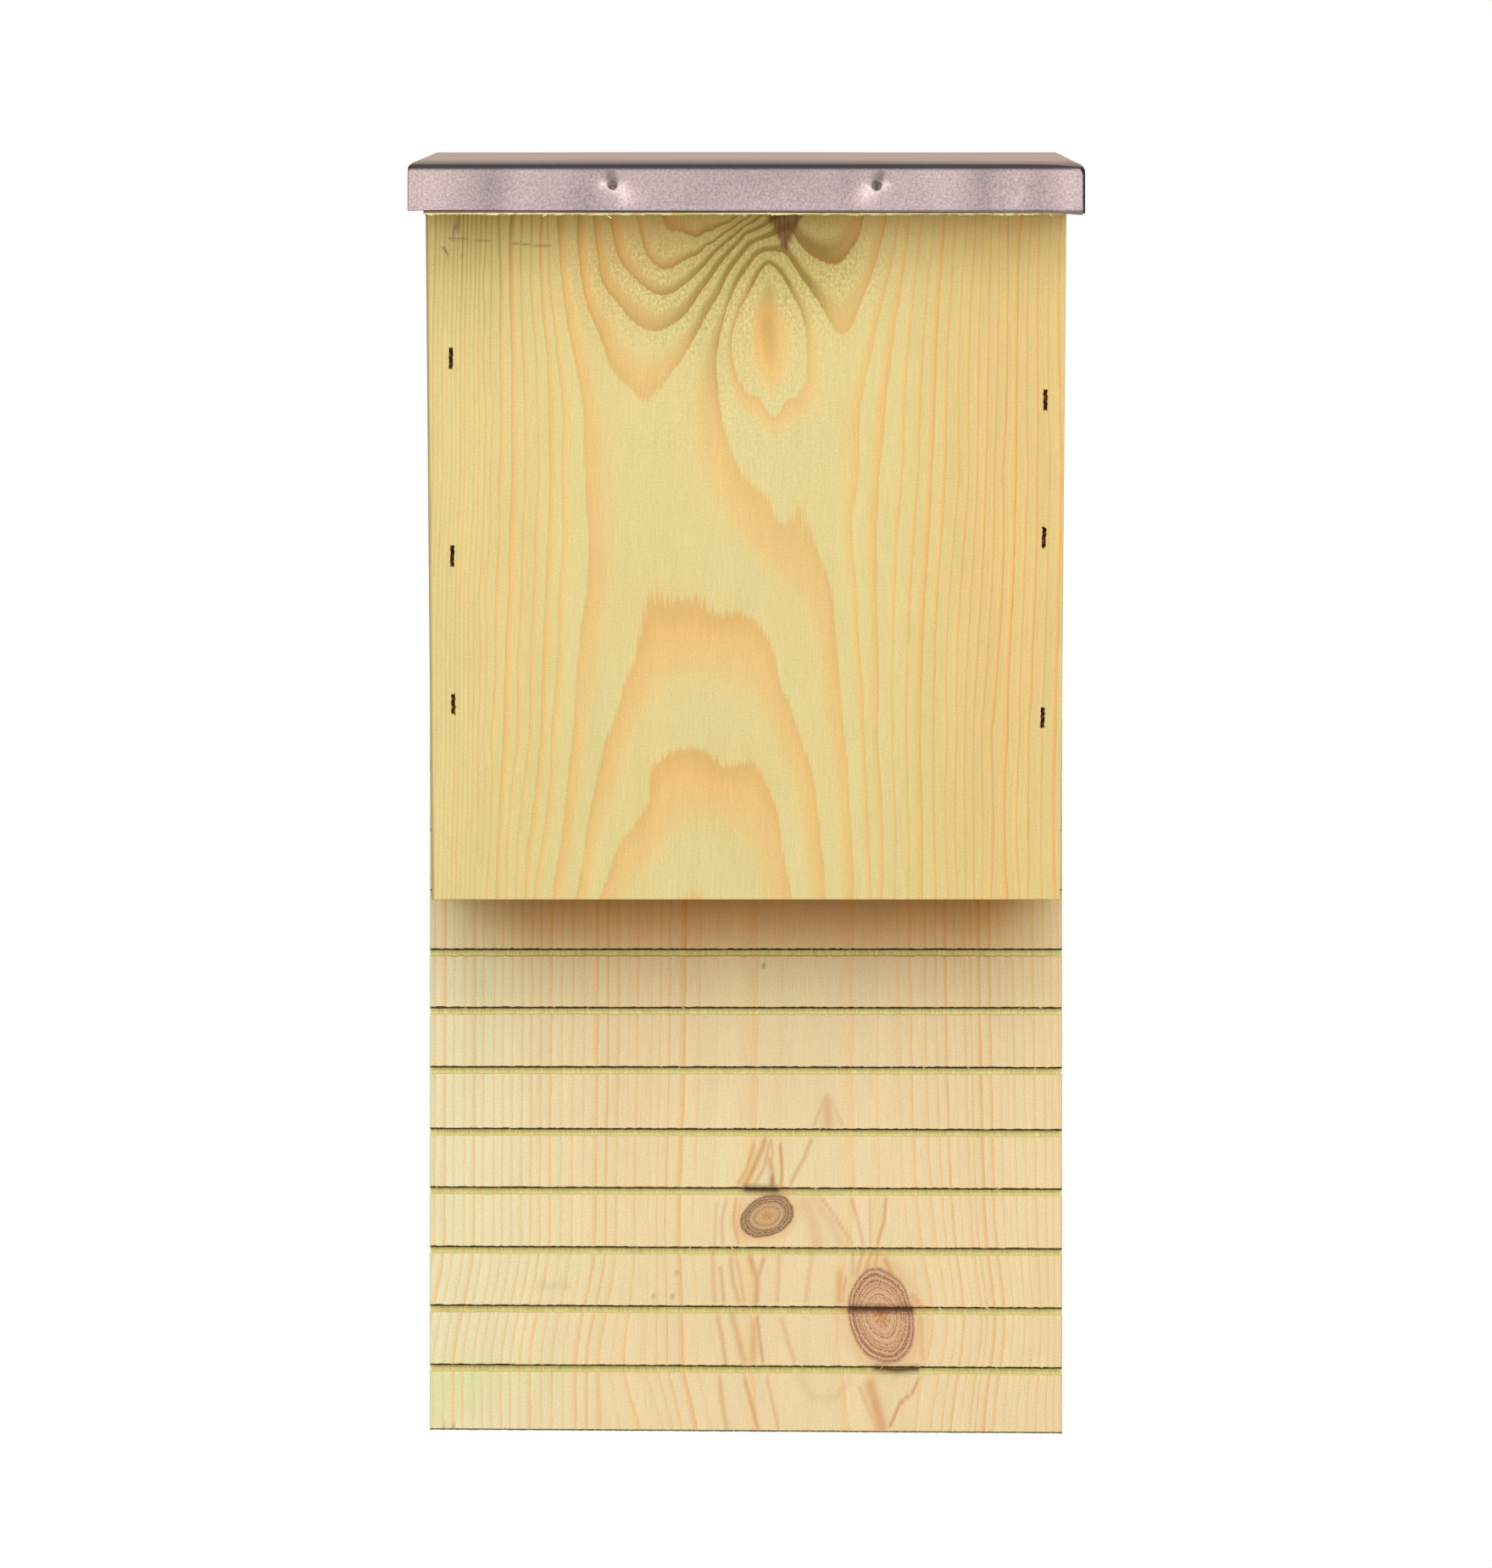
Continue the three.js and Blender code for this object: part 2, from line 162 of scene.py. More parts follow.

# %% [markdown]
# A flat-sawn pine board cuts through the tree's yearly layers at a slant.
# Each layer starts pale in spring and ends in a hard orange line in autumn, so the figure is a map:
# one number says how many years out from a chosen ring each place lies, and its whole steps are the lines.
# The lines were followed along the photograph, a few points each.
# A thin springy plate bent through those heights gives the number everywhere else,
# which is the same smooth guess that a joiner's eye makes between two lines.

# %% Growth rings of the front panel, traced
# Each entry is a ring's number and the pixels that its line passes through, from one end to the other.
FRONT_RINGS = [
    # The long line left of the middle, and the one that winds round the teardrop
    (0, [(657, 254), (659, 298), (662, 335), (667, 371), (673, 407), (681, 444), (685, 468), (688, 560),
         (691, 608), (693, 657), (689, 705), (683, 754), (679, 802), (674, 868), (670, 907), (663, 980),
         (651, 1059)]),
    (0, [(909, 297), (880, 320), (856, 371), (849, 400), (848, 456), (849, 475), (855, 504), (863, 529),
         (880, 561), (904, 579), (920, 612), (950, 584), (958, 620), (965, 645), (974, 669), (982, 693),
         (985, 730), (989, 778), (991, 802), (997, 868), (1001, 907), (1004, 965), (1008, 1059)]),
    (0, [(931, 306), (945, 328), (960, 349), (972, 369), (984, 391), (993, 398), (1001, 393), (1011, 376),
         (1018, 354), (1028, 330), (1037, 298), (1045, 269), (1047, 252)]),
    # Cathedral arches: upside down under the roof, upright below
    (-1, [(681, 254), (681, 286), (684, 323), (694, 366), (706, 395), (718, 432), (739, 456), (759, 479),
         (774, 468), (791, 444), (808, 420), (822, 395), (834, 371), (849, 347), (863, 318), (880, 296)]),
    (-1, [(679, 1059), (685, 1024), (693, 965), (706, 907), (710, 883), (719, 857), (732, 819),
         (741, 789), (747, 773), (752, 742), (758, 717), (769, 690), (791, 703), (832, 705), (840, 718),
         (879, 720), (894, 732), (909, 754), (916, 778), (925, 812), (932, 827), (945, 868), (958, 907),
         (965, 951), (970, 995), (975, 1059)]),
    (-1, [(934, 272), (938, 281), (950, 296), (965, 307), (984, 314), (1001, 302), (1012, 284),
         (1018, 264), (1021, 252)]),
    (-2, [(699, 254), (701, 279), (704, 298), (708, 328), (718, 347), (725, 354), (737, 371), (754, 386),
         (776, 392), (798, 381), (815, 364), (825, 347), (839, 328), (859, 301), (880, 277)]),
    (-2, [(707, 1059), (717, 1030), (726, 1003), (741, 977), (755, 962), (761, 948), (764, 907),
         (772, 896), (788, 886), (799, 879), (811, 879), (829, 883), (840, 889), (852, 899), (867, 899),
         (881, 896), (896, 904), (905, 921), (911, 939), (920, 962), (924, 995), (930, 1030), (935, 1059)]),
    (-3, [(718, 254), (724, 286), (730, 308), (742, 323), (762, 340), (781, 349), (800, 342), (815, 330),
         (832, 313), (847, 296), (880, 267)]),
    (-3, [(805, 1054), (818, 1048), (831, 1054)]),
    (-4, [(750, 254), (757, 286), (767, 308), (784, 319), (798, 314), (815, 304), (834, 290), (859, 273),
         (880, 260)]),
    (-5, [(781, 254), (784, 269), (800, 274), (825, 280), (839, 274), (859, 264), (868, 257)]),
    (-5.5, [(812, 256), (836, 256)]),
    # The teardrop under the knot, whose numbers rise inwards again
    (1, [(873, 366), (866, 386), (863, 407), (866, 429), (873, 449), (880, 462), (899, 471), (904, 483),
         (914, 489), (926, 473), (938, 466), (947, 449), (951, 415), (949, 386), (943, 364), (931, 342),
         (916, 318), (907, 311)]),
    (1.45, [(884, 400), (890, 360), (905, 330), (922, 362), (932, 400), (908, 470)]),
    (1.9, [(900, 380), (910, 385), (908, 420)]),
    # The first line right of the middle
    (1, [(1062, 252), (1057, 286), (1050, 323), (1041, 359), (1033, 395), (1028, 420), (1023, 444),
         (1016, 480), (1014, 558), (1008, 596), (1006, 633), (1008, 657), (1012, 705), (1014, 754),
         (1018, 802), (1021, 868), (1029, 1059)]),
]

# The close lines that run nearly straight: at each height, where lines 1, 2, 3 and so on cross it.
LEFT_HEIGHTS = {
    254: [644, 638.6, 625.5, 614, 602, 586, 580, 572.7, 567],
    335: [646.6, 638, 624.8, 613.4, 600.6, 589.7, 578, 568.8, 565],
    420: [656, 645, 631, 616, 603, 588.5, 577.5, 569, 563.5],
    560: [661, 648, 633.8, 618, 603.7, 587.7, 577.6, 570.8, 563.5],
    700: [657.5, 643.5, 629, 613.9, 599.4, 583.6, 571.5, 565, 558],
    868: [649, 637.7, 623, 610, 593, 578, 569.8, 563.5, 557],
    1059: [629, 619, 608, 596, 585, 573, 566, 559, 553],
}
LEFT_FINE_PITCH = 5.3  # pixels from line to line, left of the last one traced
RIGHT_HEIGHTS = {
    254: [1074, 1090, 1104, 1116, 1129.6, 1143.7, 1152.7, 1161.6, 1172, 1180, 1190, 1207, 1218, 1228,
          1241.6, 1253],
    558: [1038, 1066.6, 1084.8, 1100, 1116, 1133, 1144, 1154, 1163.6, 1174.5, 1184, 1200, 1214, 1224,
          1240, 1253],
    868: [1035, 1055, 1070, 1087, 1102.5, 1118.7, 1129.6, 1139, 1149.5, 1158.7, 1170.8, 1190, 1204, 1214,
          1231, 1246],
    1059: [1042, 1057, 1073, 1089, 1105, 1120, 1130, 1140, 1150, 1160, 1171, 1190, 1204, 1214, 1231, 1246],
}


def ring_samples(face):
    """Every traced pixel as (across, up) on the board in metres, with the ring number it lies on."""
    pixels = []
    rings = []
    for ring, line in FRONT_RINGS:
        pixels += line
        rings += [ring] * len(line)
    for height, line in LEFT_HEIGHTS.items():
        edge = [line[-1] - LEFT_FINE_PITCH * step for step in (4, 8)]
        pixels += [(x, height) for x in line + edge]
        rings += list(range(1, len(line) + 1)) + [len(line) + 4, len(line) + 8]
    for height, line in RIGHT_HEIGHTS.items():
        pixels += [(x, height) for x in line]
        rings += list(range(2, len(line) + 2))
    return face.traced(pixels), np.array(rings, float)

# %% A springy plate through the traced points
GRAIN_SQUEEZE = 0.45  # what a step up the grain counts, against one across
PLATE_UNIT = 0.1  # in metres: counted in it, distances come to about 1, which keeps the sums exact
PLATE_EASE = 2e-5  # how little the plate may miss a traced point
PLATE_BATCH = 8000  # points worked out at a time, to save memory


def plate(points, heights):
    """A thin springy plate through heights at points, as a function of any points.

    The height is a level, a tilt and, for each given point, a weight times r squared log r,
    where r is the distance from it. Up the grain counts less than across, since rings run that way.
    """
    scale = np.array([1, GRAIN_SQUEEZE]) / PLATE_UNIT
    known = points * scale

    def bend(a):
        """Half of gap log gap, where gap is r squared, between each of some points and each known one."""
        gap = ((a[:, None] - known[None]) ** 2).sum(-1)
        return 0.5 * gap * np.log(gap + 1e-12)

    count = len(known)
    tilt = np.hstack([np.ones((count, 1)), known])
    system = np.zeros((count + 3, count + 3))
    system[:count, :count] = bend(known) + PLATE_EASE * np.eye(count)
    system[:count, count:] = tilt
    system[count:, :count] = tilt.T
    weights = np.linalg.solve(system, np.concatenate([heights, np.zeros(3)]))

    def at(asked):
        """The plate's height at any points."""
        asked = asked * scale
        parts = np.array_split(asked, max(1, len(asked) // PLATE_BATCH))
        bent = [bend(part) @ weights[:count] for part in parts]
        return np.concatenate(bent) + np.hstack([np.ones((len(asked), 1)), asked]) @ weights[count:]

    return at


ring_points, ring_numbers = ring_samples(front_face)
front_ring = plate(ring_points, ring_numbers)
miss = np.abs(front_ring(ring_points) - ring_numbers).max()
print("traced points:", len(ring_numbers), "worst miss in rings:", round(float(miss), 3))

# %% [markdown]
# A new piece is a grid of points worked out as whole arrays. A board is its side view, a closed ring
# of rows, carried across through columns, with a flat cap on each end.
# Rows and columns crowd where there is something to show, such as a staple's slit or a saw kerf.

# %% Grids, spacing and meshes
def spaced(low, high, step, crowds=()):
    """Places from low to high a step apart, closer together within each (middle, reach, step) crowd."""
    places = np.linspace(low, high, int(round((high - low) / step)) + 1)
    for middle, reach, fine in crowds:
        places = places[np.abs(places - middle) > reach + fine / 2]
        close = np.linspace(middle - reach, middle + reach, int(round(2 * reach / fine)) + 1)
        places = np.concatenate([places, close])
    places = np.unique(np.concatenate([places, [low, high]]).round(7))
    return places[(places >= low - 1e-7) & (places <= high + 1e-7)]


def straight_runs(corners, counts):
    """Places along a bent line, a count of steps to each run, without its first and last place."""
    at = [np.linspace(k, k + 1, count + 1)[1:] for k, count in enumerate(counts)]
    at = np.concatenate(at)[:-1]
    return np.stack([np.interp(at, np.arange(len(corners)), column) for column in np.transpose(corners)], -1)


def quads(rows, columns, closed):
    """Faces of a grid, numbered row by row; closed joins the last row to the first."""
    row = np.arange(rows if closed else rows - 1)[:, None]
    column = np.arange(columns - 1)[None]
    here = row * columns + column
    above = (row + 1) % rows * columns + column
    return np.stack([here, here + 1, above + 1, above], -1).reshape(-1, 4)


def tube_of_rows(points):
    """A closed ring of rows carried across, capped at both ends: points is (rows, columns, 3)."""
    rows, columns = points.shape[:2]
    faces = quads(rows, columns, True).tolist()
    faces.append((np.arange(rows) * columns).tolist())
    faces.append((np.arange(rows) * columns + columns - 1)[::-1].tolist())
    return points.reshape(-1, 3), faces


def new_piece(name, points, faces, slot, stands_for=()):
    """A finished piece from points and faces, on its body; slot is not used."""
    mesh = bpy.data.meshes.new(name)
    mesh.from_pydata(points, [], faces)
    mesh.update()
    piece = bpy.data.objects.new(name, mesh)
    bpy.context.scene.collection.objects.link(piece)
    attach(piece, BODY)
    if stands_for:
        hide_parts(*stands_for)
    return piece


def outward(piece):
    """Turns every face of a closed piece to point out."""
    work = bmesh.new()
    work.from_mesh(piece.data)
    bmesh.ops.recalc_face_normals(work, faces=work.faces)
    work.to_mesh(piece.data)
    work.free()


def record_field(piece, name, values):
    """Stores one number, or one vector, for each point of a piece, for its material to read."""
    kind, key = ("FLOAT", "value") if values.ndim == 1 else ("FLOAT_VECTOR", "vector")
    attribute = piece.data.attributes.new(name, kind, "POINT")
    attribute.data.foreach_set(key, values.astype(np.float32).ravel())


def step_between(low, high, values):
    """Rises from 0 at low to 1 at high, as 3 share squared minus 2 share cubed, or falls if high is lower."""
    share = np.clip((values - low) / (high - low), 0, 1)
    return share * share * (3 - 2 * share)


def wander(places, step, seed):
    """A smooth random line: seeded random heights from -1 to 1 a step apart, joined smoothly."""
    start = places.min()
    count = int((places.max() - start) / step) + 3
    knots = np.random.default_rng(seed).uniform(-1, 1, count)
    at = (places - start) / step
    low = np.floor(at).astype(int)
    return knots[low] + (knots[low + 1] - knots[low]) * step_between(0, 1, at - low)

# %% [markdown]
# The front panel is one wide pine board, planed, with its arrises just eased.
# Six staples were shot through it into the side panels, and each crown lies sunk in its own torn slit.
# The slits are pressed into the board's own grid, so that light falls into them as it does in wood, and their
# walls are painted near black as painted shade.

# %% The front panel
ARRIS = 0.35 * MM  # how far a board's edges are eased
SLIT_HALF_WIDTH = 0.56 * MM
SLIT_HALF_LENGTH = 3.2 * MM
SLIT_DEPTH = 2.0 * MM
SLIT_WALL = 0.1 * MM  # the slope of a slit's wall, seen from the front
SCRATCHED = [(530, 288)]  # a pixel among the scratches under the lip
GREEN_LINE = [(839, 700)]  # and one on the pale green line near the middle


def crown_place(name):
    """Where a front staple's crown lies on the face: across, and up the middle of its outer edge."""
    placed = front_face.place(points_of(nodes[name]))
    outer = placed[placed[:, 1] < placed[:, 1].min() + 0.1 * MM]
    return (outer[:, 0].min() + outer[:, 0].max()) / 2, (outer[:, 2].min() + outer[:, 2].max()) / 2


def slit_share(across, up, crowns):
    """How far inside a staple's slit a place is: 1 inside a ragged box round each crown, 0 outside."""
    share = np.zeros(np.broadcast(across, up).shape)
    for number, (middle, height) in enumerate(crowns):
        torn = 0.16 * MM * wander(up.ravel(), 0.6 * MM, number).reshape(up.shape)
        drawn = 0.6 * MM * np.abs(wander(across.ravel(), 0.35 * MM, number + 20)).reshape(across.shape)
        side = np.abs(across - middle + torn) - SLIT_HALF_WIDTH
        end = np.abs(up - height) - SLIT_HALF_LENGTH + drawn
        share = np.maximum(share, step_between(0, -SLIT_WALL, np.maximum(side, end)))
    return share


def front_panel_board(crowns):
    """The board's side view as rows, outer face, upper end, inner face and lower end, carried across."""
    corners = front_face.place(front_corners)
    half = corners[:, 0].max()
    crown_columns = sorted({round(crown[0], 5) for crown in crowns})
    # Rows and columns crowd, as (middle, reach, step), at eased edges, slits, scratches and the green line.
    rims = [(ARRIS, ARRIS, ARRIS / 3), (front_face.length - ARRIS, ARRIS, ARRIS / 3)]
    sides = [(side * (half - ARRIS), ARRIS, ARRIS / 3) for side in (-1, 1)]
    scratch_up = front_face.traced(SCRATCHED)[0, 1]
    green = front_face.traced(GREEN_LINE)[0, 0]
    columns = [(place, 1.3 * MM, 0.13 * MM) for place in crown_columns] + [(green, 2 * MM, 0.25 * MM)]
    columns = spaced(-half, half, 1.0 * MM, sides + columns)
    rows = [(crown[1], SLIT_HALF_LENGTH + 0.5 * MM, 0.2 * MM) for crown in crowns]
    rows = spaced(0, front_face.length, 1.5 * MM, rows + rims + [(scratch_up, 3 * MM, 0.2 * MM)])
    across, up = np.meshgrid(columns, rows)
    near = np.minimum(half - np.abs(across), np.minimum(up, front_face.length - up))
    eased = ARRIS - np.sqrt(np.maximum(ARRIS ** 2 - np.maximum(ARRIS - near, 0) ** 2, 0))
    outer = front_face.world(across, eased + SLIT_DEPTH * slit_share(across, up, crowns), up)

    inner_top = corners[np.argmax(front_corners[:, 2])]
    inner_low = corners[np.argmax(front_corners[:, 1])]
    turns = [(rows[-1], ARRIS), (inner_top[2], inner_top[1]), (inner_low[2], inner_low[1]), (0, ARRIS)]
    rest = straight_runs(turns, (6, 12, 6))
    rest = front_face.world(columns[None], rest[:, 1:], rest[:, :1])
    return tube_of_rows(np.concatenate([outer, rest]))


front_crowns = [crown_place(name) for name in sorted(nodes) if name.startswith("front_staple")]
front_points, front_faces = front_panel_board(front_crowns)
front_piece = new_piece("front_panel_board", front_points, front_faces, "front_pine", ["front_panel"])
outward(front_piece)
print("front panel:", len(front_points), "points, slits:", len(front_crowns))

# %% Fields that the front panel's pine reads
# Soft patches, as (pixel x, pixel y, half-width, half-height, strength).
FRONT_WARM = [
    (1190, 650, 110, 600, 1.0), (800, 280, 90, 60, 0.9), (980, 265, 60, 50, 0.8), (905, 400, 45, 90, 0.6),
    (610, 700, 60, 500, 0.35), (820, 740, 110, 45, 0.5), (830, 915, 110, 60, 0.5), (700, 330, 50, 90, 0.6),
]
FRONT_OLIVE = [
    (880, 285, 65, 55, 1.0), (895, 312, 50, 32, 0.5), (815, 350, 50, 55, 0.6), (740, 350, 50, 70, 0.25),
    (650, 258, 90, 30, 0.3), (560, 280, 70, 110, 0.6), (980, 300, 45, 50, 0.55), (950, 330, 45, 55, 0.5),
    (840, 420, 30, 60, 0.3),
]
FRONT_TORN = [(800, 340, 110, 55, 1.0), (970, 320, 80, 60, 0.9), (880, 330, 70, 60, 0.9),
              (720, 300, 60, 40, 0.5), (870, 480, 130, 90, 0.3)]
FRONT_GREEN = [(910, 500, 70, 60, 0.8), (880, 650, 40, 90, 0.6), (835, 830, 60, 60, 0.7),
               (910, 990, 40, 70, 0.5), (700, 800, 30, 200, 0.5), (830, 1010, 70, 50, 0.8),
               (540, 900, 30, 200, 0.3)]
KNOT_WEDGE = [(903, 250), (948, 250), (926, 297)]  # the corners of the resin-brown end of a knot
# Strokes: width in pixels, strength, and the pixels they pass through.
FRONT_SCRATCHES = [
    (1.3, 0.4, [(530, 281.5), (552, 282)]), (1.3, 0.4, [(562, 284), (578, 284.5)]),
    (1.4, 0.5, [(606, 287.5), (612, 287)]), (1.4, 0.5, [(617, 289), (625, 288)]),
    (1.4, 0.4, [(628, 290), (648, 290)]), (1.2, 0.75, [(524, 292), (528, 300)]),
    (1.0, 0.6, [(543, 296), (545, 303)]), (1.0, 0.6, [(536, 264), (537, 273)]),
    (1.0, 0.5, [(534.5, 268), (534, 284)]), (1.2, 0.7, [(928, 351), (929, 355)]),
    (1.0, 0.5, [(541, 255), (540, 275)]),
]
FRONT_PALE = [
    (1.6, 0.6, [(840.5, 600), (841.5, 860)]), (1.4, 0.45, [(841, 860), (842, 1060)]),
    (2.2, 0.5, [(834, 601), (834.5, 690), (836.5, 727)]),
]


def patches(spots, px, py):
    """Sum of soft round patches, each exp(-(dx/w)^2 - (dy/h)^2) times its strength, at pixels."""
    total = np.zeros(len(px))
    for x, y, wide, tall, strength in spots:
        total += strength * np.exp(-((px - x) / wide) ** 2 - ((py - y) / tall) ** 2)
    return np.clip(total, 0, 1)


def strokes(marks, px, py):
    """Soft strokes: for each, strength times exp(-(distance over width) squared), the strongest winning."""
    total = np.zeros(len(px))
    for width, strength, line in marks:
        for (x0, y0), (x1, y1) in zip(line, line[1:]):
            length = max((x1 - x0) ** 2 + (y1 - y0) ** 2, 1e-6)
            share = np.clip(((px - x0) * (x1 - x0) + (py - y0) * (y1 - y0)) / length, 0, 1)
            gap = (px - x0 - share * (x1 - x0)) ** 2 + (py - y0 - share * (y1 - y0)) ** 2
            total = np.maximum(total, strength * np.exp(-gap / width ** 2))
    return total


def wedge(corners, px, py):
    """1 inside a triangle of pixels and 0 outside, with a soft edge, from the distances to its sides."""
    a, b, c = np.array(corners, float)
    inside = np.full(len(px), 1e9)
    for start, end, other in ((a, b, c), (b, c, a), (c, a, b)):
        side = np.array([start[1] - end[1], end[0] - start[0]]) / np.linalg.norm(end - start)
        side = side * np.sign((other - start) @ side)
        inside = np.minimum(inside, (px - start[0]) * side[0] + (py - start[1]) * side[1])
    return step_between(-2.5, 2, inside)


FRONT_DEPTH_RINGS = 120  # rings passed on each metre into the board, counting down
LEFT_EDGE_DARK = 0.9 * MM  # the left edge is darker to this width
front_placed = front_face.place(points_of(front_piece))
front_asked = front_placed[:, [0, 2]]
front_px, front_py = seen_at(front_face.world(front_placed[:, 0], 0, front_placed[:, 2]))
in_slits = slit_share(front_asked[:, :1], front_asked[:, 1:], front_crowns)[:, 0]
dark_left_edge = 0.5 * step_between(LEFT_EDGE_DARK, 0.5 * LEFT_EDGE_DARK, front_asked[:, 0] - front_asked[:, 0].min())
front_fields = {
    "board": front_placed,
    "ring": front_ring(front_asked) - FRONT_DEPTH_RINGS * front_placed[:, 1],
    "warm": patches(FRONT_WARM, front_px, front_py),
    "olive": patches(FRONT_OLIVE, front_px, front_py),
    "torn": patches(FRONT_TORN, front_px, front_py),
    "green": np.maximum(
        patches(FRONT_GREEN, front_px, front_py),
        strokes(FRONT_PALE, front_px, front_py) * 1.3),
    "stain": wedge(KNOT_WEDGE, front_px, front_py) * 0.9,
    "smear": np.maximum(strokes(FRONT_SCRATCHES, front_px, front_py), dark_left_edge),
    # Painted shade: the inside of each slit is painted near black.
    "slit": in_slits * (front_placed[:, 1] < 3 * MM),
}
front_fields["strength"] = 0.75 + 0.3 * front_fields["warm"] + 0.3 * front_fields["olive"]
for name, values in front_fields.items():
    record_field(front_piece, name, values)
print("slit points:", int((front_fields["slit"] > 0.5).sum()))

# %% [markdown]
# The back panel is a taller board. Its lower half is the ladder that the bats land on and climb:
# shallow saw kerfs, whose saw tore the wood's fibres a little at each edge.
# Their heights are measured from the CAD node. The rear keeps the node's own keyhole and staple seats:
# its pockets are lifted out of the node and the flat between them is filled in again.

# %% Kerf places from the CAD node
KERF_DEPTH = 2 * MM


def kerf_edges():
    """Lower and upper height of each kerf at the left and right edge, found from the floor's corners."""
    floor = np.unique(back_corners[:, 1].round(6))
    floor = floor[np.argmin(np.abs(floor - (back_front + KERF_DEPTH)))]
    on_floor = back_corners[np.abs(back_corners[:, 1] - floor) < NEAR]
    sides = []
    for side in (-back_half, back_half):
        heights = np.unique(on_floor[np.abs(on_floor[:, 0] - side) < NEAR][:, 2].round(6))
        sides.append(heights.reshape(-1, 2))
    return floor, np.stack(sides, -1)


def kerf_share(points):
    """Where a point stands in its kerf: 0 at the lower edge, 1 at the upper, and a half outside all kerfs."""
    across = (points[:, 0] + back_half) / (2 * back_half)
    share = np.full(len(points), 0.5)
    for (low_left, low_right), (high_left, high_right) in kerfs:
        low = low_left + (low_right - low_left) * across
        high = high_left + (high_right - high_left) * across
        at = (points[:, 2] - low) / (high - low)
        share = np.where(np.abs(at - 0.5) < 0.65, np.clip(at, 0, 1), share)
    return share


kerf_floor, kerfs = kerf_edges()
at_sides = [np.abs(back_corners[:, 0] - side) < NEAR for side in (-back_half, back_half)]
foot_heights = np.array([back_corners[at_side][:, 2].min() for at_side in at_sides])
print("kerfs:", len(kerfs), "floor in mm:", round(kerf_floor / MM, 2))
print("the foot's height in mm at left and right:", np.round(foot_heights / MM, 2))

# %% The back panel
TOOTH = 0.5 * MM  # the length of a saw tooth's mark on a kerf's floor
ROW_STEP = 1.3 * MM  # from row to row between the kerfs
REAR_KEPT = 7 * MM  # how deep the pockets of the rear are kept; a deeper bore ends there
SEEN_FROM = back_face.traced([(880, 1040)])[0, 1]  # kerfs below the height of this pixel are seen
KNOTTY = back_face.traced([(845, 1500), (1095, 1500)])[:, 0]  # the knots lie between these two
# Side view of a kerf, as (share of its height, share of its depth): a little rounded at the lower edge.
KERF_PROFILE = [(0, 0), (0.02, 0.3), (0.07, 0.75), (0.16, 1), (0.45, 1), (0.7, 1), (0.78, 1), (0.95, 1),
                (0.98, 0.5), (1, 0)]
HIDDEN_PROFILE = [(0, 0), (0.05, 1), (0.95, 1), (1, 0)]  # plainer, for the kerfs inside the chamber
FOOT_ROWS = np.array([0, 0.12, 0.25, 0.4, 0.6, 0.8, 1.1]) * MM


def back_rows():
    """Rows up the front face: height at left and at right, depth, kerf number or -1, share of the kerf."""
    ends = []
    for at_side in at_sides:
        column = back_corners[at_side & (back_corners[:, 1] < back_front + NEAR)]
        ends.append((column[:, 2].min(), column[:, 2].max()))
    low, high = np.array(ends).T
    rows = [(*(low + rise), 0, -1, 0.5) for rise in FOOT_ROWS]
    start = low + FOOT_ROWS[-1]
    for number, kerf in enumerate(kerfs):
        seen = kerf[0].mean() < SEEN_FROM
        count = int(round((kerf[0].mean() - start.mean()) / ROW_STEP)) if seen else 2
        for share in np.linspace(0, 1, count + 1)[1:-1]:
            rows.append((*(start + (kerf[0] - start) * share), 0, -1, 0.5))
        for share, depth in KERF_PROFILE if seen else HIDDEN_PROFILE:
            height = kerf[0] + (kerf[1] - kerf[0]) * share
            rows.append((*height, depth * (kerf_floor - back_front), number, share))
        start = kerf[1]
    for share in np.linspace(0, 1, 9)[1:]:
        rows.append((*(start + (high - start) * share), 0, -1, 0.5))
    return np.array(rows)


def back_panel_shell(rows, columns):
    """Front face, upper end and lower end of the back panel as an open grid: depth follows the rows,
    kerf edges wander with torn fibres, and the kerf floors carry the saw's tooth marks."""
    share = (columns + back_half) / (2 * back_half)
    height = rows[:, :1] + (rows[:, 1:2] - rows[:, :1]) * share
    low_rear = height[0].copy()
    depth = np.repeat(rows[:, 2:3], len(columns), 1)
    middle = (back_half - np.abs(columns)) > 1.0 * MM
    for number in range(len(kerfs)):
        own = np.where(rows[:, 3] == number)[0]
        lower = 0.16 * MM * wander(columns, 0.6 * MM, 100 + number) * middle
        pulled = 0.5 * MM * np.maximum(wander(columns, 1.2 * MM, 200 + number) - 0.78, 0) * middle
        upper = 0.12 * MM * wander(columns, 0.7 * MM, 300 + number) * middle
        slant = rows[own, 4][:, None]
        height[own] += (lower - pulled) * (1 - slant) ** 3 + upper * slant ** 3
        depth[own[2:-2]] += 0.16 * MM * wander(columns, TOOTH, 400 + number) * middle
    near = np.minimum(back_half - np.abs(columns), ARRIS)
    depth = np.maximum(depth, ARRIS - np.sqrt(np.maximum(ARRIS ** 2 - (ARRIS - near) ** 2, 0)))
    # The saw broke the foot's edge a little: the two lowest rows lie deeper, and the lowest is ragged.
    depth[:2] += np.array([[0.3], [0.06]]) * MM
    height[0] += 0.12 * MM * np.abs(wander(columns, 0.9 * MM, 7)) * middle
    face = np.stack([np.repeat(columns[None], len(rows), 0), back_front + depth, height], -1)

    top_rear = back_corners[np.abs(back_corners[:, 1]) < NEAR][:, 2].max()
    back = np.linspace(0, 1, 6)[1:, None, None]
    upper_rear = np.stack([columns, 0 * columns, np.full(len(columns), top_rear)], -1)
    lower_rear = np.stack([columns, 0 * columns, low_rear], -1)
    upper = face[-1] + (upper_rear - face[-1]) * back
    lower = (face[0] + (lower_rear - face[0]) * back)[::-1]
    return np.concatenate([lower, face, upper])


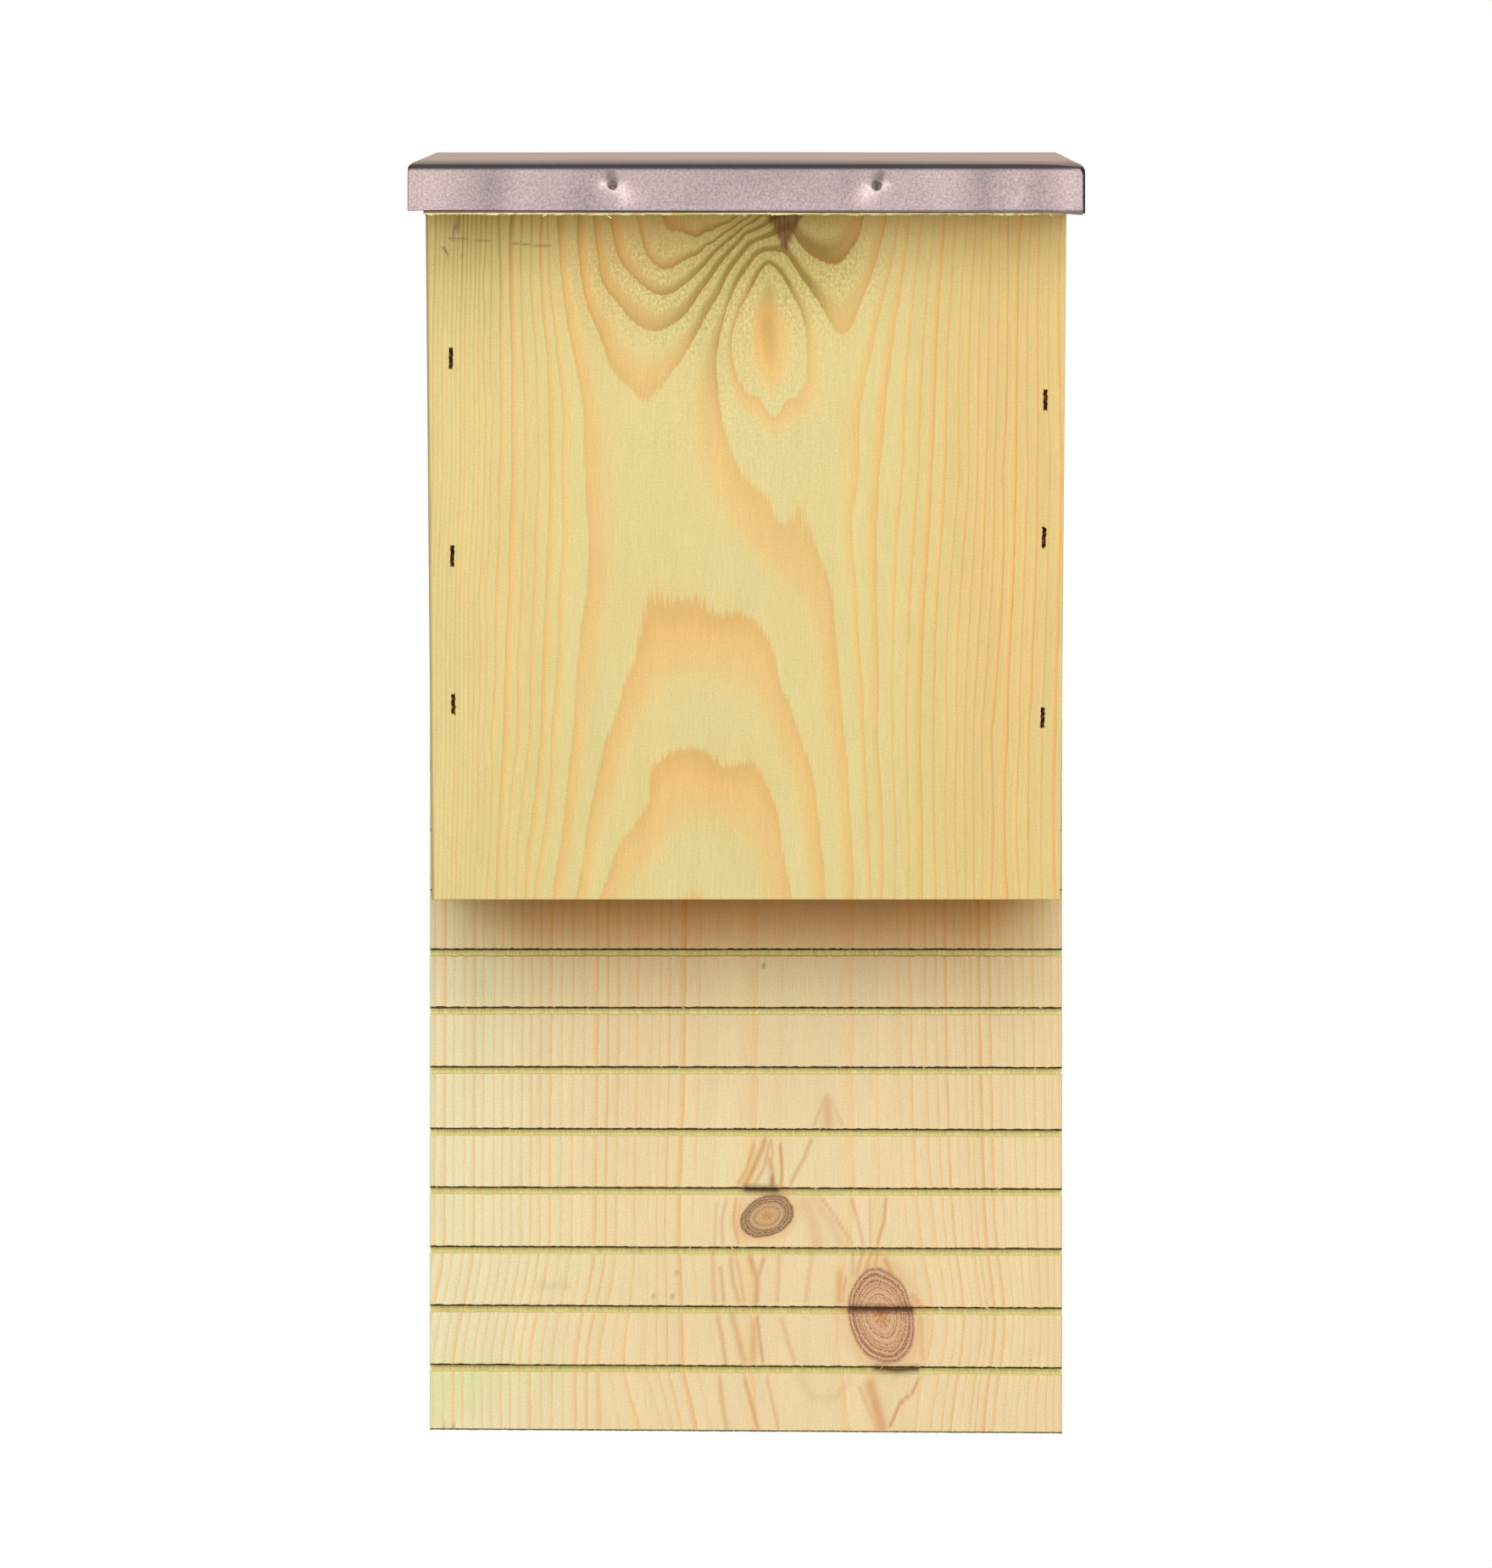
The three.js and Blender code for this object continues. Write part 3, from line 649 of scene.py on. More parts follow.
def with_pockets(shell, node, cut_depth):
    """Closes an open shell behind: lifts the pockets of the node's rear face and fills the flat round them.

    The node is cut at a depth, and its outer faces are taken off, which leaves the pockets' walls and floors.
    Those that the cut opened get a floor. The last holes are then the flat of the rear, which is filled.
    """
    work = bmesh.new()
    work.from_mesh(nodes[node].data)
    bmesh.ops.remove_doubles(work, verts=work.verts, dist=1e-6)
    everything = work.verts[:] + work.edges[:] + work.faces[:]
    plane = {"plane_co": (0, -cut_depth, 0), "plane_no": (0, -1, 0)}
    bmesh.ops.bisect_plane(work, geom=everything, **plane, clear_outer=True)
    low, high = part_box(node)
    outer = []
    for face in work.faces:
        middle = face.calc_center_median()
        flat = all(abs(vert.co.y) < 1e-6 for vert in face.verts)
        rim = abs(middle.x) > high.x - MM or middle.z > high.z - 5 * MM or middle.z < low.z + 5 * MM
        if flat or rim:
            outer.append(face)
    bmesh.ops.delete(work, geom=outer, context="FACES")
    cut = [edge for edge in work.edges if max(vert.co.y for vert in edge.verts) < -cut_depth + 1e-6]
    bmesh.ops.holes_fill(work, edges=[edge for edge in cut if edge.is_boundary], sides=0)
    work.from_mesh(shell)
    bmesh.ops.remove_doubles(work, verts=work.verts, dist=1e-7)
    rims = [edge for edge in work.edges if edge.is_boundary]
    bmesh.ops.triangle_fill(work, edges=rims, use_beauty=True, normal=(0, 1, 0))
    bmesh.ops.recalc_face_normals(work, faces=work.faces)
    left = sum(edge.is_boundary for edge in work.edges)
    mesh = bpy.data.meshes.new(shell.name)
    work.to_mesh(mesh)
    work.free()
    return mesh, left


sides = [(side * (back_half - ARRIS), ARRIS, ARRIS / 2) for side in (-1, 1)]
knotty = (KNOTTY.mean(), (KNOTTY[1] - KNOTTY[0]) / 2, 0.36 * MM)
back_columns = spaced(-back_half, back_half, 0.66 * MM, sides + [knotty])
shell_points = back_panel_shell(back_rows(), back_columns)
shell_rows, shell_columns = shell_points.shape[:2]
shell_faces = quads(shell_rows, shell_columns, False).tolist()
index = np.arange(shell_rows * shell_columns).reshape(shell_rows, shell_columns)
shell_faces.append(index[:, 0].tolist())
shell_faces.append(index[:, -1][::-1].tolist())
shell_points = shell_points.reshape(-1, 3)
back_piece = new_piece("back_panel_board", shell_points, shell_faces, "back_pine", ["back_panel"])

closed_mesh, open_edges = with_pockets(back_piece.data, "back_panel", REAR_KEPT)
back_piece.data = closed_mesh
triangles = sum(len(face.vertices) - 2 for face in closed_mesh.polygons)
print("back panel:", len(closed_mesh.vertices), "points,", triangles, "triangles, open edges:", open_edges)

# %% [markdown]
# On the back panel the lines run nearly straight, so they are listed where they cross one height.
# Below, they lean and swerve. Wood flows round a knot as water flows round a post, and the same formula
# gives it: a place is pushed aside by its distance across, times the knot's radius squared, over the distance
# squared. The two knots are cut across, so each shows its own rings round a star-shaped pith.

# %% Growth rings of the back panel, traced
BACK_LINES = [517, 530, 540, 553, 565, 575, 588, 598, 609, 621, 632, 643, 655, 668, 681, 694, 710, 722.5, 735,
              747, 757, 774, 784, 794.5, 813, 830, 851, 898, 927, 966, 1008.5, 1036, 1060.6, 1074, 1091, 1103,
              1114.6, 1125, 1137, 1143, 1154, 1166, 1177, 1185, 1192.6, 1204.8, 1217, 1229, 1237.5, 1246]

# How strong the lines are: most of them, and, by their pixel, those that are stronger or weaker.
BACK_PLAIN = 0.62
BACK_STRONG = {632: 0.8, 710: 0.85, 722.5: 1.25, 813: 1.1, 898: 0.5, 1008.5: 0.6, 1114.6: 1.2, 1154: 1.1,
               1166: 0.95}
BACK_QUIET = {747: 0.4, 774: 0.4, 851: 0.15, 927: 0.25, 966: 0.05, 1036: 0.4, 1060.6: 0.45}
EDGE_PITCHES = (11, 9)  # pixels from line to line, left of the first one traced and right of the last

# Each knot: pixel x, y, half-width, half-height, turn in degrees (its top leans left when positive), and
# how strongly the lines flow round it.
BACK_KNOTS = [(905, 1435, 33, 23.5, 24, 0.55), (1040, 1553, 38, 57, 12, 0.7)]


def lean_of_lines(px, py):
    """How far, in pixels, the lines have swerved to the right at a place of the photograph."""
    left = -25 * step_between(1455, 1620, py) * step_between(800, 690, px)
    foot = 16 * step_between(1600, 1700, py) * step_between(690, 780, px) * step_between(900, 850, px)
    right = 12 * np.exp(-((py - 1560) / 75) ** 2) * step_between(1080, 1110, px)
    return left + foot + right * step_between(1260, 1190, px)


def back_ring_field(asked):
    """Ring number and line strength: the straight lines' numbers, read where the swerves push them to."""
    px, py = seen_at(back_face.world(asked[:, 0], 0, asked[:, 1]))
    straight = px - lean_of_lines(px, py)
    for x, y, wide, tall, _, flow in BACK_KNOTS:
        across = px - x
        away = across ** 2 + ((py - y) * wide / tall * 0.8) ** 2
        straight -= across * flow * wide ** 2 / np.maximum(away, wide ** 2 * 0.8)
    strengths = np.array([BACK_STRONG.get(x, BACK_QUIET.get(x, BACK_PLAIN)) for x in BACK_LINES])
    ring = np.interp(straight, BACK_LINES, np.arange(1, len(BACK_LINES) + 1))
    ring += np.minimum(straight - BACK_LINES[0], 0) / EDGE_PITCHES[0]
    ring += np.maximum(straight - BACK_LINES[-1], 0) / EDGE_PITCHES[1]
    nearest = np.clip(np.ceil(ring).astype(int) - 1, 0, len(strengths) - 1)
    return ring, strengths[nearest], px, py


# Resin streaks and other marks, as strokes: width in pixels, strength, and the pixels they pass through.
BACK_RESIN = [
    (3, 0.55, [(862, 1482), (864, 1510), (872, 1537)]), (2, 0.5, [(868, 1482), (874, 1510), (878, 1537)]),
    (2.4, 0.5, [(841, 1480), (843, 1537)]), (2.6, 0.6, [(850, 1495), (854, 1537)]),
    (3, 0.6, [(846, 1552), (852, 1580), (856, 1608)]), (4, 0.55, [(863, 1552), (871, 1580), (878, 1608)]),
    (3, 0.55, [(849, 1625), (851, 1650), (857, 1685)]), (2, 0.8, [(878, 1627), (886, 1655), (894, 1685)]),
    (2.2, 0.8, [(893, 1552), (896, 1580), (900, 1608)]), (2, 0.5, [(905, 1627), (918, 1685)]),
    (1.8, 0.6, [(868, 1414), (865, 1440), (871, 1468)]), (2.2, 0.5, [(857, 1414), (851, 1440), (853, 1470)]),
    (2, 0.4, [(845, 1420), (843, 1470)]), (3.5, 0.8, [(878, 1399), (889, 1378), (899, 1356), (902, 1344)]),
    (2.2, 0.7, [(870, 1398), (881, 1380), (889, 1350)]), (2.2, 0.65, [(890, 1397), (902, 1376), (907, 1350)]),
    (1.6, 0.6, [(909, 1345), (912, 1365)]), (1.8, 1.0, [(920.5, 1352), (922.5, 1380), (921.5, 1399)]),
    (2.6, 0.6, [(957, 1345), (948, 1368), (938, 1385), (932, 1399)]),
    (9, 0.34, [(950, 1418), (958, 1440), (964, 1466)]), (8, 0.28, [(962, 1416), (978, 1440), (990, 1464)]),
    (2.2, 0.55, [(968, 1412), (985, 1436), (1005, 1467)]),
    (2, 0.55, [(1004, 1414), (1012, 1440), (1018, 1468)]), (1.8, 0.4, [(1026, 1413), (1027, 1468)]),
    (2.2, 0.7, [(1045, 1413), (1043, 1440), (1035, 1468)]), (2, 0.5, [(1006, 1480), (1006, 1506)]),
    (2, 0.6, [(1017, 1480), (1011, 1502)]), (2, 0.6, [(1027, 1480), (1021, 1498)]),
    (1.8, 0.55, [(1035, 1480), (1033, 1494), (1042, 1500)]),
    (3, 0.45, [(922, 1556), (929, 1582), (937, 1606)]), (3.4, 0.35, [(958, 1482), (950, 1537)]),
    (3, 0.35, [(919, 1482), (917, 1537)]), (5, 0.5, [(990, 1502), (991, 1534)]),
    (1.6, 0.7, [(998, 1506), (995, 1524)]), (3.4, 0.6, [(1076, 1530), (1087, 1541)]),
    (1.8, 1.0, [(1083, 1628), (1076, 1644), (1062, 1655), (1050, 1682)]),
    (2.6, 0.5, [(1014, 1636), (1024, 1662), (1036, 1684)]), (2, 0.5, [(1030, 1632), (1043, 1684)]),
    (5, 0.22, [(944, 1627), (960, 1650), (985, 1650), (1003, 1628)]), (7, 0.55, [(976, 1300), (977, 1326)]),
    (2, 0.5, [(976, 1291), (966, 1312), (960, 1328)]), (2, 0.4, [(976, 1291), (987, 1312), (994, 1328)]),
    (3, 0.4, [(1086, 1556), (1088, 1604)]), (7, 0.75, [(1026, 1634), (1034, 1660), (1040, 1684)]),
    (3, 0.8, [(911, 1399), (911, 1384), (908, 1368)]), (3.6, 0.75, [(892, 1537), (893, 1510), (885, 1484)]),
    (2.6, 0.65, [(894, 1508), (901, 1484)]), (3, 0.8, [(1044, 1486), (1052, 1504)]),
    (4.5, 0.5, [(890, 1560), (889, 1604)]),
]
BACK_SMEAR = [
    (4, 0.97, [(880, 1403), (916, 1404)]), (3, 0.45, [(911, 1399), (911, 1390)]),
    (4, 0.95, [(1004, 1544), (1074, 1545)]), (3.4, 0.95, [(1034, 1614), (1058, 1617), (1082, 1615)]),
    (5, 0.1, [(636, 1517), (670, 1517)]), (2, 0.6, [(771, 1530), (771, 1532)]),
    (2, 0.6, [(793, 1530), (793, 1532)]), (1.6, 0.6, [(798, 1501), (798, 1502)]),
    (2.2, 0.6, [(901, 1138), (901, 1140)]), (1.4, 0.5, [(535, 1680), (535, 1687)]),
    (1.2, 0.5, [(525, 1678), (524, 1687)]), (5, 0.15, [(1030, 1610), (1062, 1611)]),
]
BACK_PALE = [(1.6, 0.5, [(851, 1125), (851, 1400)]), (1.4, 0.4, [(1204.8, 1125), (1204.8, 1600)]),
             (2, 0.4, [(1001, 1345), (1001, 1535)])]
BACK_GREEN = [(575, 1150, 30, 300, 0.12), (528, 1640, 40, 40, 0.9), (1180, 1080, 60, 30, 0.12),
              (930, 1160, 70, 60, 0.12), (610, 1625, 60, 20, 0.5), (700, 1480, 60, 30, 0.3),
              (890, 1385, 90, 40, 0.25)]
FOOT_DARK_EDGE = 0.75 * MM  # how far up the dark edge of the sawn foot reaches
BACK_DEPTH_RINGS = 200  # rings passed on each metre into the board, counting up
# Painted shadow: a warm tone on the back panel under the front panel's edge. Pixels between which it grows:
# upwards, and in from the left and the right.
PAINTED_SHADOW_ROWS = (1150, 1076)
PAINTED_SHADOW_LEFT = (500, 640)
PAINTED_SHADOW_RIGHT = (1260, 1150)

back_placed = back_face.place(points_of(back_piece))
back_asked = back_placed[:, [0, 2]]
back_ring, back_strength, back_px, back_py = back_ring_field(back_asked)
on_front = back_placed[:, 1] < 2.5 * MM
foot_edge = back_placed[:, 2] - np.interp(back_placed[:, 0], [-back_half, back_half], foot_heights)
# Painted shadow: a warm tone, strongest just below the front panel's edge and weaker towards the sides.
painted_shadow_tint = step_between(*PAINTED_SHADOW_ROWS, back_py) * on_front
painted_shadow_tint *= np.minimum(step_between(*PAINTED_SHADOW_LEFT, back_px), step_between(*PAINTED_SHADOW_RIGHT, back_px))
back_fields = {
    "board": back_placed,
    "ring": back_ring + BACK_DEPTH_RINGS * back_placed[:, 1],
    "strength": 0.7 * back_strength,
    "stain": strokes(BACK_RESIN, back_px, back_py) * on_front,
    "smear": strokes(BACK_SMEAR, back_px, back_py) * on_front,
    "cut": step_between(0.1 * MM, 0.5 * MM, back_placed[:, 1]) * on_front * (foot_edge > MM),
    "kerf": kerf_share(back_placed + np.array([0, 0, back_face.foot[2]])),
    "foot": step_between(FOOT_DARK_EDGE, 0.5 * FOOT_DARK_EDGE, foot_edge) * on_front,
    "warm": np.clip(0.1 + 0.9 * step_between(520, 760, back_px), 0, 1),
    "painted_shadow_tint": painted_shadow_tint,
    "green": np.maximum(
        patches(BACK_GREEN, back_px, back_py),
        strokes(BACK_PALE, back_px, back_py)) * on_front,
}
for name, values in back_fields.items():
    record_field(back_piece, name, values)
print("back panel's strongest line:", round(float(back_strength.max()), 2))

# %% [markdown]
# The cap is one piece of galvanised sheet: a sloping top, a lip folded down in front and a flange
# folded down along each side, past the ends of the lip. Thin sheet never stays flat, so the lip waves
# a little, hangs a hair lower at the right, swells in the middle and dips at its ends, and each nail has
# pulled a dimple.
# It is a grid for the top and the lip, and one for each flange, which share the points of their fold;
# Solidify then gives the sheet its thickness inwards.

# %% The cap's sizes, measured from its node
cap_low, cap_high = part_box("roof_cap")
SHEET = 0.6 * MM
FOLD = 1.2 * MM  # outer radius
WEB = 1.0 * MM  # height of sheet that is left uncut over the slit at each front corner
RELIEF = 1.5 * MM  # how far behind the lip the flanges begin
DENT_DEPTH = 0.7 * MM
DENT_REACH = 2.1 * MM
DENT_TURN = math.radians(35)  # the dents are oval, and lean outwards
LIP_SHORT = 0.45 * MM  # the lip's right end stops this much short
SPLAY = 0.3 * MM  # the right flange stands out this much towards its front
# Waves along the lip: height, length over two pi, and where in its swing each begins.
LIP_WAVES = [(0.16 * MM, 11.5 * MM, 1.2), (0.10 * MM, 5.3 * MM, 0.4), (0.07 * MM, 27 * MM, 0)]
rear_top = back_corners[np.abs(back_corners[:, 1]) < NEAR][:, 2].max()
front_top = back_corners[back_corners[:, 1] < back_front + NEAR][:, 2].max()
roof_slope = math.atan2(rear_top - front_top, -back_front)
cap_points = points_of(nodes["roof_cap"])
wall_half = cap_points[np.abs(cap_points[:, 1]) < NEAR][:, 0].max()
lip_half = cap_high.x
nail_boxes = [np.array(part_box(name)) for name in ("cap_nail_left", "cap_nail_right")]
nail_places = [(box[0] + box[1]) / 2 for box in nail_boxes]
halves = [round(half / MM, 2) for half in (wall_half, lip_half)]
print("slope in degrees:", round(math.degrees(roof_slope), 2), "half width in mm at wall and lip:", halves)


def cap_half(y):
    """Half the cap's width at a distance from the wall: the flanges close in towards it."""
    return wall_half + (lip_half - wall_half) * (y / cap_low.y)


def cap_top(y):
    """Height of the cap's outer face over a place, before the fold."""
    return cap_high.z + y * math.tan(roof_slope)

# %% The soft shape of thin sheet
def sheet_sway(points):
    """Waves along the lip, dents round the nails, a bow in the top, and the lip's tilt, swell and low ends.

    A wave is its height times sin(x over its length), and a dent is its depth over 1 plus (distance over
    reach) cubed. The bow and the swell fall off with the square of the distance from the middle.
    """
    moved = points.copy()
    x, y, z = points.T
    on_lip = step_between(2.0 * MM, 0.5 * MM, y - cap_low.y)
    below = cap_top(cap_low.y) - z
    inside = step_between(lip_half - 0.5 * MM, lip_half - 3 * MM, np.abs(x))
    waves = sum(height * np.sin(x / length + phase) for height, length, phase in LIP_WAVES)
    moved[:, 1] += waves * on_lip * inside * step_between(0, 9 * MM, below)
    for place in nail_places:
        bearing = np.arctan2(z - place[2], x - place[0])
        reach = DENT_REACH * (1 + 0.25 * np.cos(2 * (bearing - np.sign(place[0]) * DENT_TURN)))
        away = np.hypot(x - place[0], z - place[2]) / reach
        moved[:, 1] += DENT_DEPTH / (1 + away ** 3) * on_lip
    share = x / lip_half
    moved[:, 2] += (0.3 * (1 - share ** 2) - 0.18 * share) * MM * step_between(0, 95 * MM, -y)
    low = 0.22 * share + 0.08 + 0.3 * (1 - share ** 2)
    moved[:, 2] -= low * MM * on_lip * step_between(2 * MM, 12 * MM, below)
    moved[:, 2] += 0.06 * MM * np.sin(x / (21 * MM) + 2.0) * (1 - on_lip)
    right_end = step_between(lip_half - 14 * MM, lip_half, x)
    left_end = step_between(14 * MM - lip_half, -lip_half, x)
    drop = 0.6 * right_end ** 2 + 0.25 * left_end ** 2
    moved[:, 2] -= drop * MM * step_between(6 * MM, 0, y - cap_low.y)
    return moved


def cap_side():
    """The side view of top, fold and lip as rows of (y, z, 0 on the top and 1 from the fold down).
    The fold is an arc round a centre that lies a fold's radius inside both faces."""
    front = cap_low.y
    behind_fold = front + FOLD * (1 - math.sin(roof_slope))
    near = (front + RELIEF + 1.6 * MM, 1.6 * MM, 0.4 * MM)
    side = [(y, cap_top(y), 0) for y in spaced(behind_fold, 0, 3.0 * MM, [near])[::-1]]
    centre = np.array([front + FOLD, cap_top(front + FOLD) - FOLD / math.cos(roof_slope)])
    for angle in np.linspace(math.pi / 2 + roof_slope, math.pi, 10)[1:]:
        side.append((centre[0] + FOLD * math.cos(angle), centre[1] + FOLD * math.sin(angle), 1))
    hem = (cap_low.z + 0.3 * MM, 0.3 * MM, 0.1 * MM)
    for height in spaced(cap_low.z, side[-1][1], 0.32 * MM, [hem])[::-1][1:]:
        side.append((front, height, 1))
    return np.array(side)


def cap_sheet():
    """The outer face as three grids: top with lip, and the two flanges, which share their fold's points.
    Where the lip begins, its ends step out past the flanges' fold, and the slit beside them stays open."""
    front = cap_low.y
    side = cap_side()
    crowds = [(place[0], 4.5 * MM, 0.3 * MM) for place in nail_places]
    crowds += [(end * (lip_half - 0.3 * MM), 0.3 * MM, 0.1 * MM) for end in (-1, 1)]
    share = spaced(-lip_half, lip_half, 1.1 * MM, crowds) / lip_half
    slit_top = cap_top(front) - FOLD - WEB
    narrow = cap_half(side[:, 0]) - FOLD
    widen = side[:, 2] * step_between(slit_top + WEB + FOLD, slit_top - 0.2 * MM, side[:, 1])
    left = narrow + (lip_half - narrow) * widen
    right = narrow + (lip_half - LIP_SHORT - narrow) * widen
    across = np.where(share < 0, left[:, None], right[:, None]) * share
    main = np.stack([across, *np.broadcast_arrays(side[:, :1], side[:, 1:2], across)[:2]], -1)
    grids = [(main, quads(len(side), len(share), False))]

    rows = side[(side[:, 2] == 0) & (side[:, 0] >= front + RELIEF - 1e-6)]
    turn = np.linspace(0, math.pi / 2, 7)
    flat = np.linspace(FOLD, cap_top(front) - cap_low.z, 12)[1:]
    out = np.concatenate([np.sin(turn) * FOLD, np.full(len(flat), FOLD)])
    down = np.concatenate([(1 - np.cos(turn)) * FOLD, flat])
    splay = SPLAY * step_between(25 * MM, RELIEF, rows[:, :1] - front) * np.clip(down / FOLD, 0, 1)
    for sign in (-1, 1):
        x = sign * (cap_half(rows[:, :1]) - FOLD + out + splay * (sign > 0))
        flange = np.stack([x, np.repeat(rows[:, :1], len(out), 1), rows[:, 1:2] - down], -1)
        faces = quads(len(rows), len(out), False)
        grids.append((flange, faces if sign < 0 else faces[:, ::-1]))
    starts = np.cumsum([0] + [grid.shape[0] * grid.shape[1] for grid, _ in grids])
    points = np.concatenate([grid.reshape(-1, 3) for grid, _ in grids])
    return points, np.concatenate([faces + start for (_, faces), start in zip(grids, starts)])


cap_grid, cap_faces = cap_sheet()
cap_grid = sheet_sway(cap_grid)
cap_piece = new_piece("roof_cap_sheet", cap_grid, cap_faces.tolist(), "galvanised_sheet", ["roof_cap"])
work = bmesh.new()
work.from_mesh(cap_piece.data)
bmesh.ops.remove_doubles(work, verts=work.verts, dist=0.02 * MM)
bmesh.ops.recalc_face_normals(work, faces=work.faces)
work.faces.ensure_lookup_table()
if max(work.faces, key=lambda face: face.calc_center_median().z).normal.z < 0:
    bmesh.ops.reverse_faces(work, faces=work.faces)
work.to_mesh(cap_piece.data)
work.free()
thickness = cap_piece.modifiers.new("sheet thickness", "SOLIDIFY")
thickness.thickness = SHEET
thickness.offset = -1
thickness.use_even_offset = True
print("cap:", len(cap_piece.data.vertices), "points before it gets its thickness")

# %% [markdown]
# Years out of doors show on the sheet: the top stays damp and brown. The fold, the hem, the lip's left end,
# the slits beside the flanges and the dent above each nail get painted shade, and where the lip waves,
# painted highlights and painted shade lie in soft bands, with a painted highlight round each nail's dent.
# Each of these is a number at every point, which the sheet's material reads.

# %% Fields that the cap's sheet reads
# Painted highlights and shade on the lip: bands where it waves, and highlights round the nails' dents: pixel
# x, y, half-width, half-height, strength; dark ones are negative.
CAP_PAINTED_LIGHT = [
    (503, 224, 26, 60, 0.35), (577, 224, 20, 60, -0.5), (615, 224, 18, 60, 0.25), (690, 224, 22, 60, -0.4),
    (880, 205, 110, 30, -0.15), (1000, 224, 14, 60, -0.3), (1160, 224, 16, 60, -0.5),
    (1200, 224, 12, 60, 0.3), (1225, 224, 10, 60, -0.2), (1262, 224, 16, 60, 0.5), (1110, 224, 22, 60, 0.25),
    (738, 229, 9, 12, 1.0), (734, 217, 6, 6, 0.5), (710, 218, 6, 6, 1.0), (744, 238, 18, 12, 0.4),
    (1020, 228, 9, 11, 1.0), (1046, 219, 6, 6, 0.6), (1022, 217, 6, 5, 0.5), (1010, 236, 18, 12, 0.4),
]
# Painted shade above each nail's dent: width in pixels, strength, and the pixels it passes through.
NAIL_DENT_SHADES = [(6, 0.4, [(720, 205), (722, 212)]), (6, 0.4, [(1039, 204), (1036, 212)])]

cap_xyz = points_of(cap_piece)
x, y, z = cap_xyz.T
cap_px, cap_py = seen_at(cap_xyz)
from_front = y - cap_low.y
from_top = cap_top(y) - z
lip = step_between(1.2 * MM, 0.3 * MM, from_front) * step_between(0.8 * MM, 1.6 * MM, from_top)
# Painted shade: along the fold and the top just behind it, at the hem and the lip's left end, in the slits
# beside the flanges, and above each nail's dent.
fold_shade = step_between(-0.3 * MM, 0.2 * MM, from_top) * step_between(1.9 * MM, 0.9 * MM, from_top)
fold_shade *= step_between(1.4 * MM, 1.1 * MM, from_front)
shade_behind_fold = 0.62 * step_between(48 * MM, 1.2 * MM, from_front) * step_between(1.2 * MM, 0.6 * MM, from_top)
hem = 0.6 * step_between(0.35 * MM, 0.1 * MM, z - cap_low.z) * (from_front < MM)
lip_end_shade = 0.7 * step_between(-lip_half + 0.3 * MM, -lip_half + 0.1 * MM, x) * (from_front < MM)
in_slit = step_between(RELIEF + 1.2 * MM, RELIEF + 0.6 * MM, from_front) * (from_front > RELIEF - 0.1 * MM)
in_slit *= np.abs(x) > cap_half(y) - FOLD / 2
nail_dent_shade = strokes(NAIL_DENT_SHADES, cap_px, cap_py) * lip
painted_shade = np.maximum.reduce([0.95 * fold_shade, shade_behind_fold, hem, lip_end_shade, in_slit, nail_dent_shade])
on_top = step_between(1.0 * MM, 2.2 * MM, from_front) * step_between(2.5 * MM, 1.5 * MM, from_top)
# Painted light: light and dark bands on the lip, and highlights round the nails' dents.
painted_light = np.zeros(len(x))
for spot in CAP_PAINTED_LIGHT:
    painted_light += np.sign(spot[4]) * patches([(*spot[:4], abs(spot[4]))], cap_px, cap_py)
record_field(cap_piece, "painted_shade", painted_shade)
record_field(cap_piece, "painted_light", painted_light * lip)
record_field(cap_piece, "top", on_top)
tones = [round(float(end), 2) for end in (painted_light.min(), painted_light.max())]
print("darkest crease:", round(float(painted_shade.max()), 2), "tones:", tones)

# %% [markdown]
# The saw that trimmed the roof board left a fringe of torn fibres along its lower front edge, just under
# the lip: a thin strip whose lower edge is ragged. A few curls of wood hang off it, and slivers stand out
# of the saw kerfs below. Those are bent threads that taper at both ends, so one formula makes them all.

# %% Torn fibres under the lip
roof_points = points_of(nodes["roof_board"])
roof_front = roof_points[:, 1].min()
roof_low = roof_points[roof_points[:, 1] < roof_front + NEAR][:, 2].min()
roof_half = roof_points[:, 0].max()


def fringe():
    """A strip along the edge: its lower edge hangs by 0.22 mm and up to 0.45 mm more, at random."""
    x = spaced(-roof_half, roof_half, 0.35 * MM)
    hang = 0.22 + 0.2 * np.abs(wander(x, 0.5 * MM, 11)) + 0.25 * np.maximum(wander(x, 2.2 * MM, 12), 0)
    hang = hang * MM
    lean = 0.08 * MM * wander(x, 0.9 * MM, 13)
    top = np.stack([x, np.full(len(x), roof_front - 0.05 * MM), np.full(len(x), roof_low + 0.12 * MM)], -1)
    tip = np.stack([x, roof_front + 0.05 * MM + lean, roof_low - hang], -1)
    back = np.stack([x, np.full(len(x), roof_front + 0.35 * MM), np.full(len(x), roof_low + 0.1 * MM)], -1)
    return tube_of_rows(np.stack([top, tip, back]))


fringe_piece = new_piece("roof_board_torn_fibres", *fringe(), "side_pine")
outward(fringe_piece)
lowest_tip = points_of(fringe_piece)[:, 2].min()
print("torn fibres hang below the roof board by up to", round((roof_low - lowest_tip) / MM, 2), "mm")

# %% Curls under the lip and slivers at the kerfs
# Curls that the photograph shows under the lip: pixel x and y of each end.
LIP_CURLS = [(1183, 254, 1190, 250), (1199, 251, 1203, 255), (1237, 252, 1241, 256), (875, 251, 880, 256),
             (905, 250, 912, 255), (1010, 256, 1015, 252), (716, 255, 722, 258), (640, 256, 646, 253)]
LANDING_KERFS = 8
KERF_SLIVERS = 84


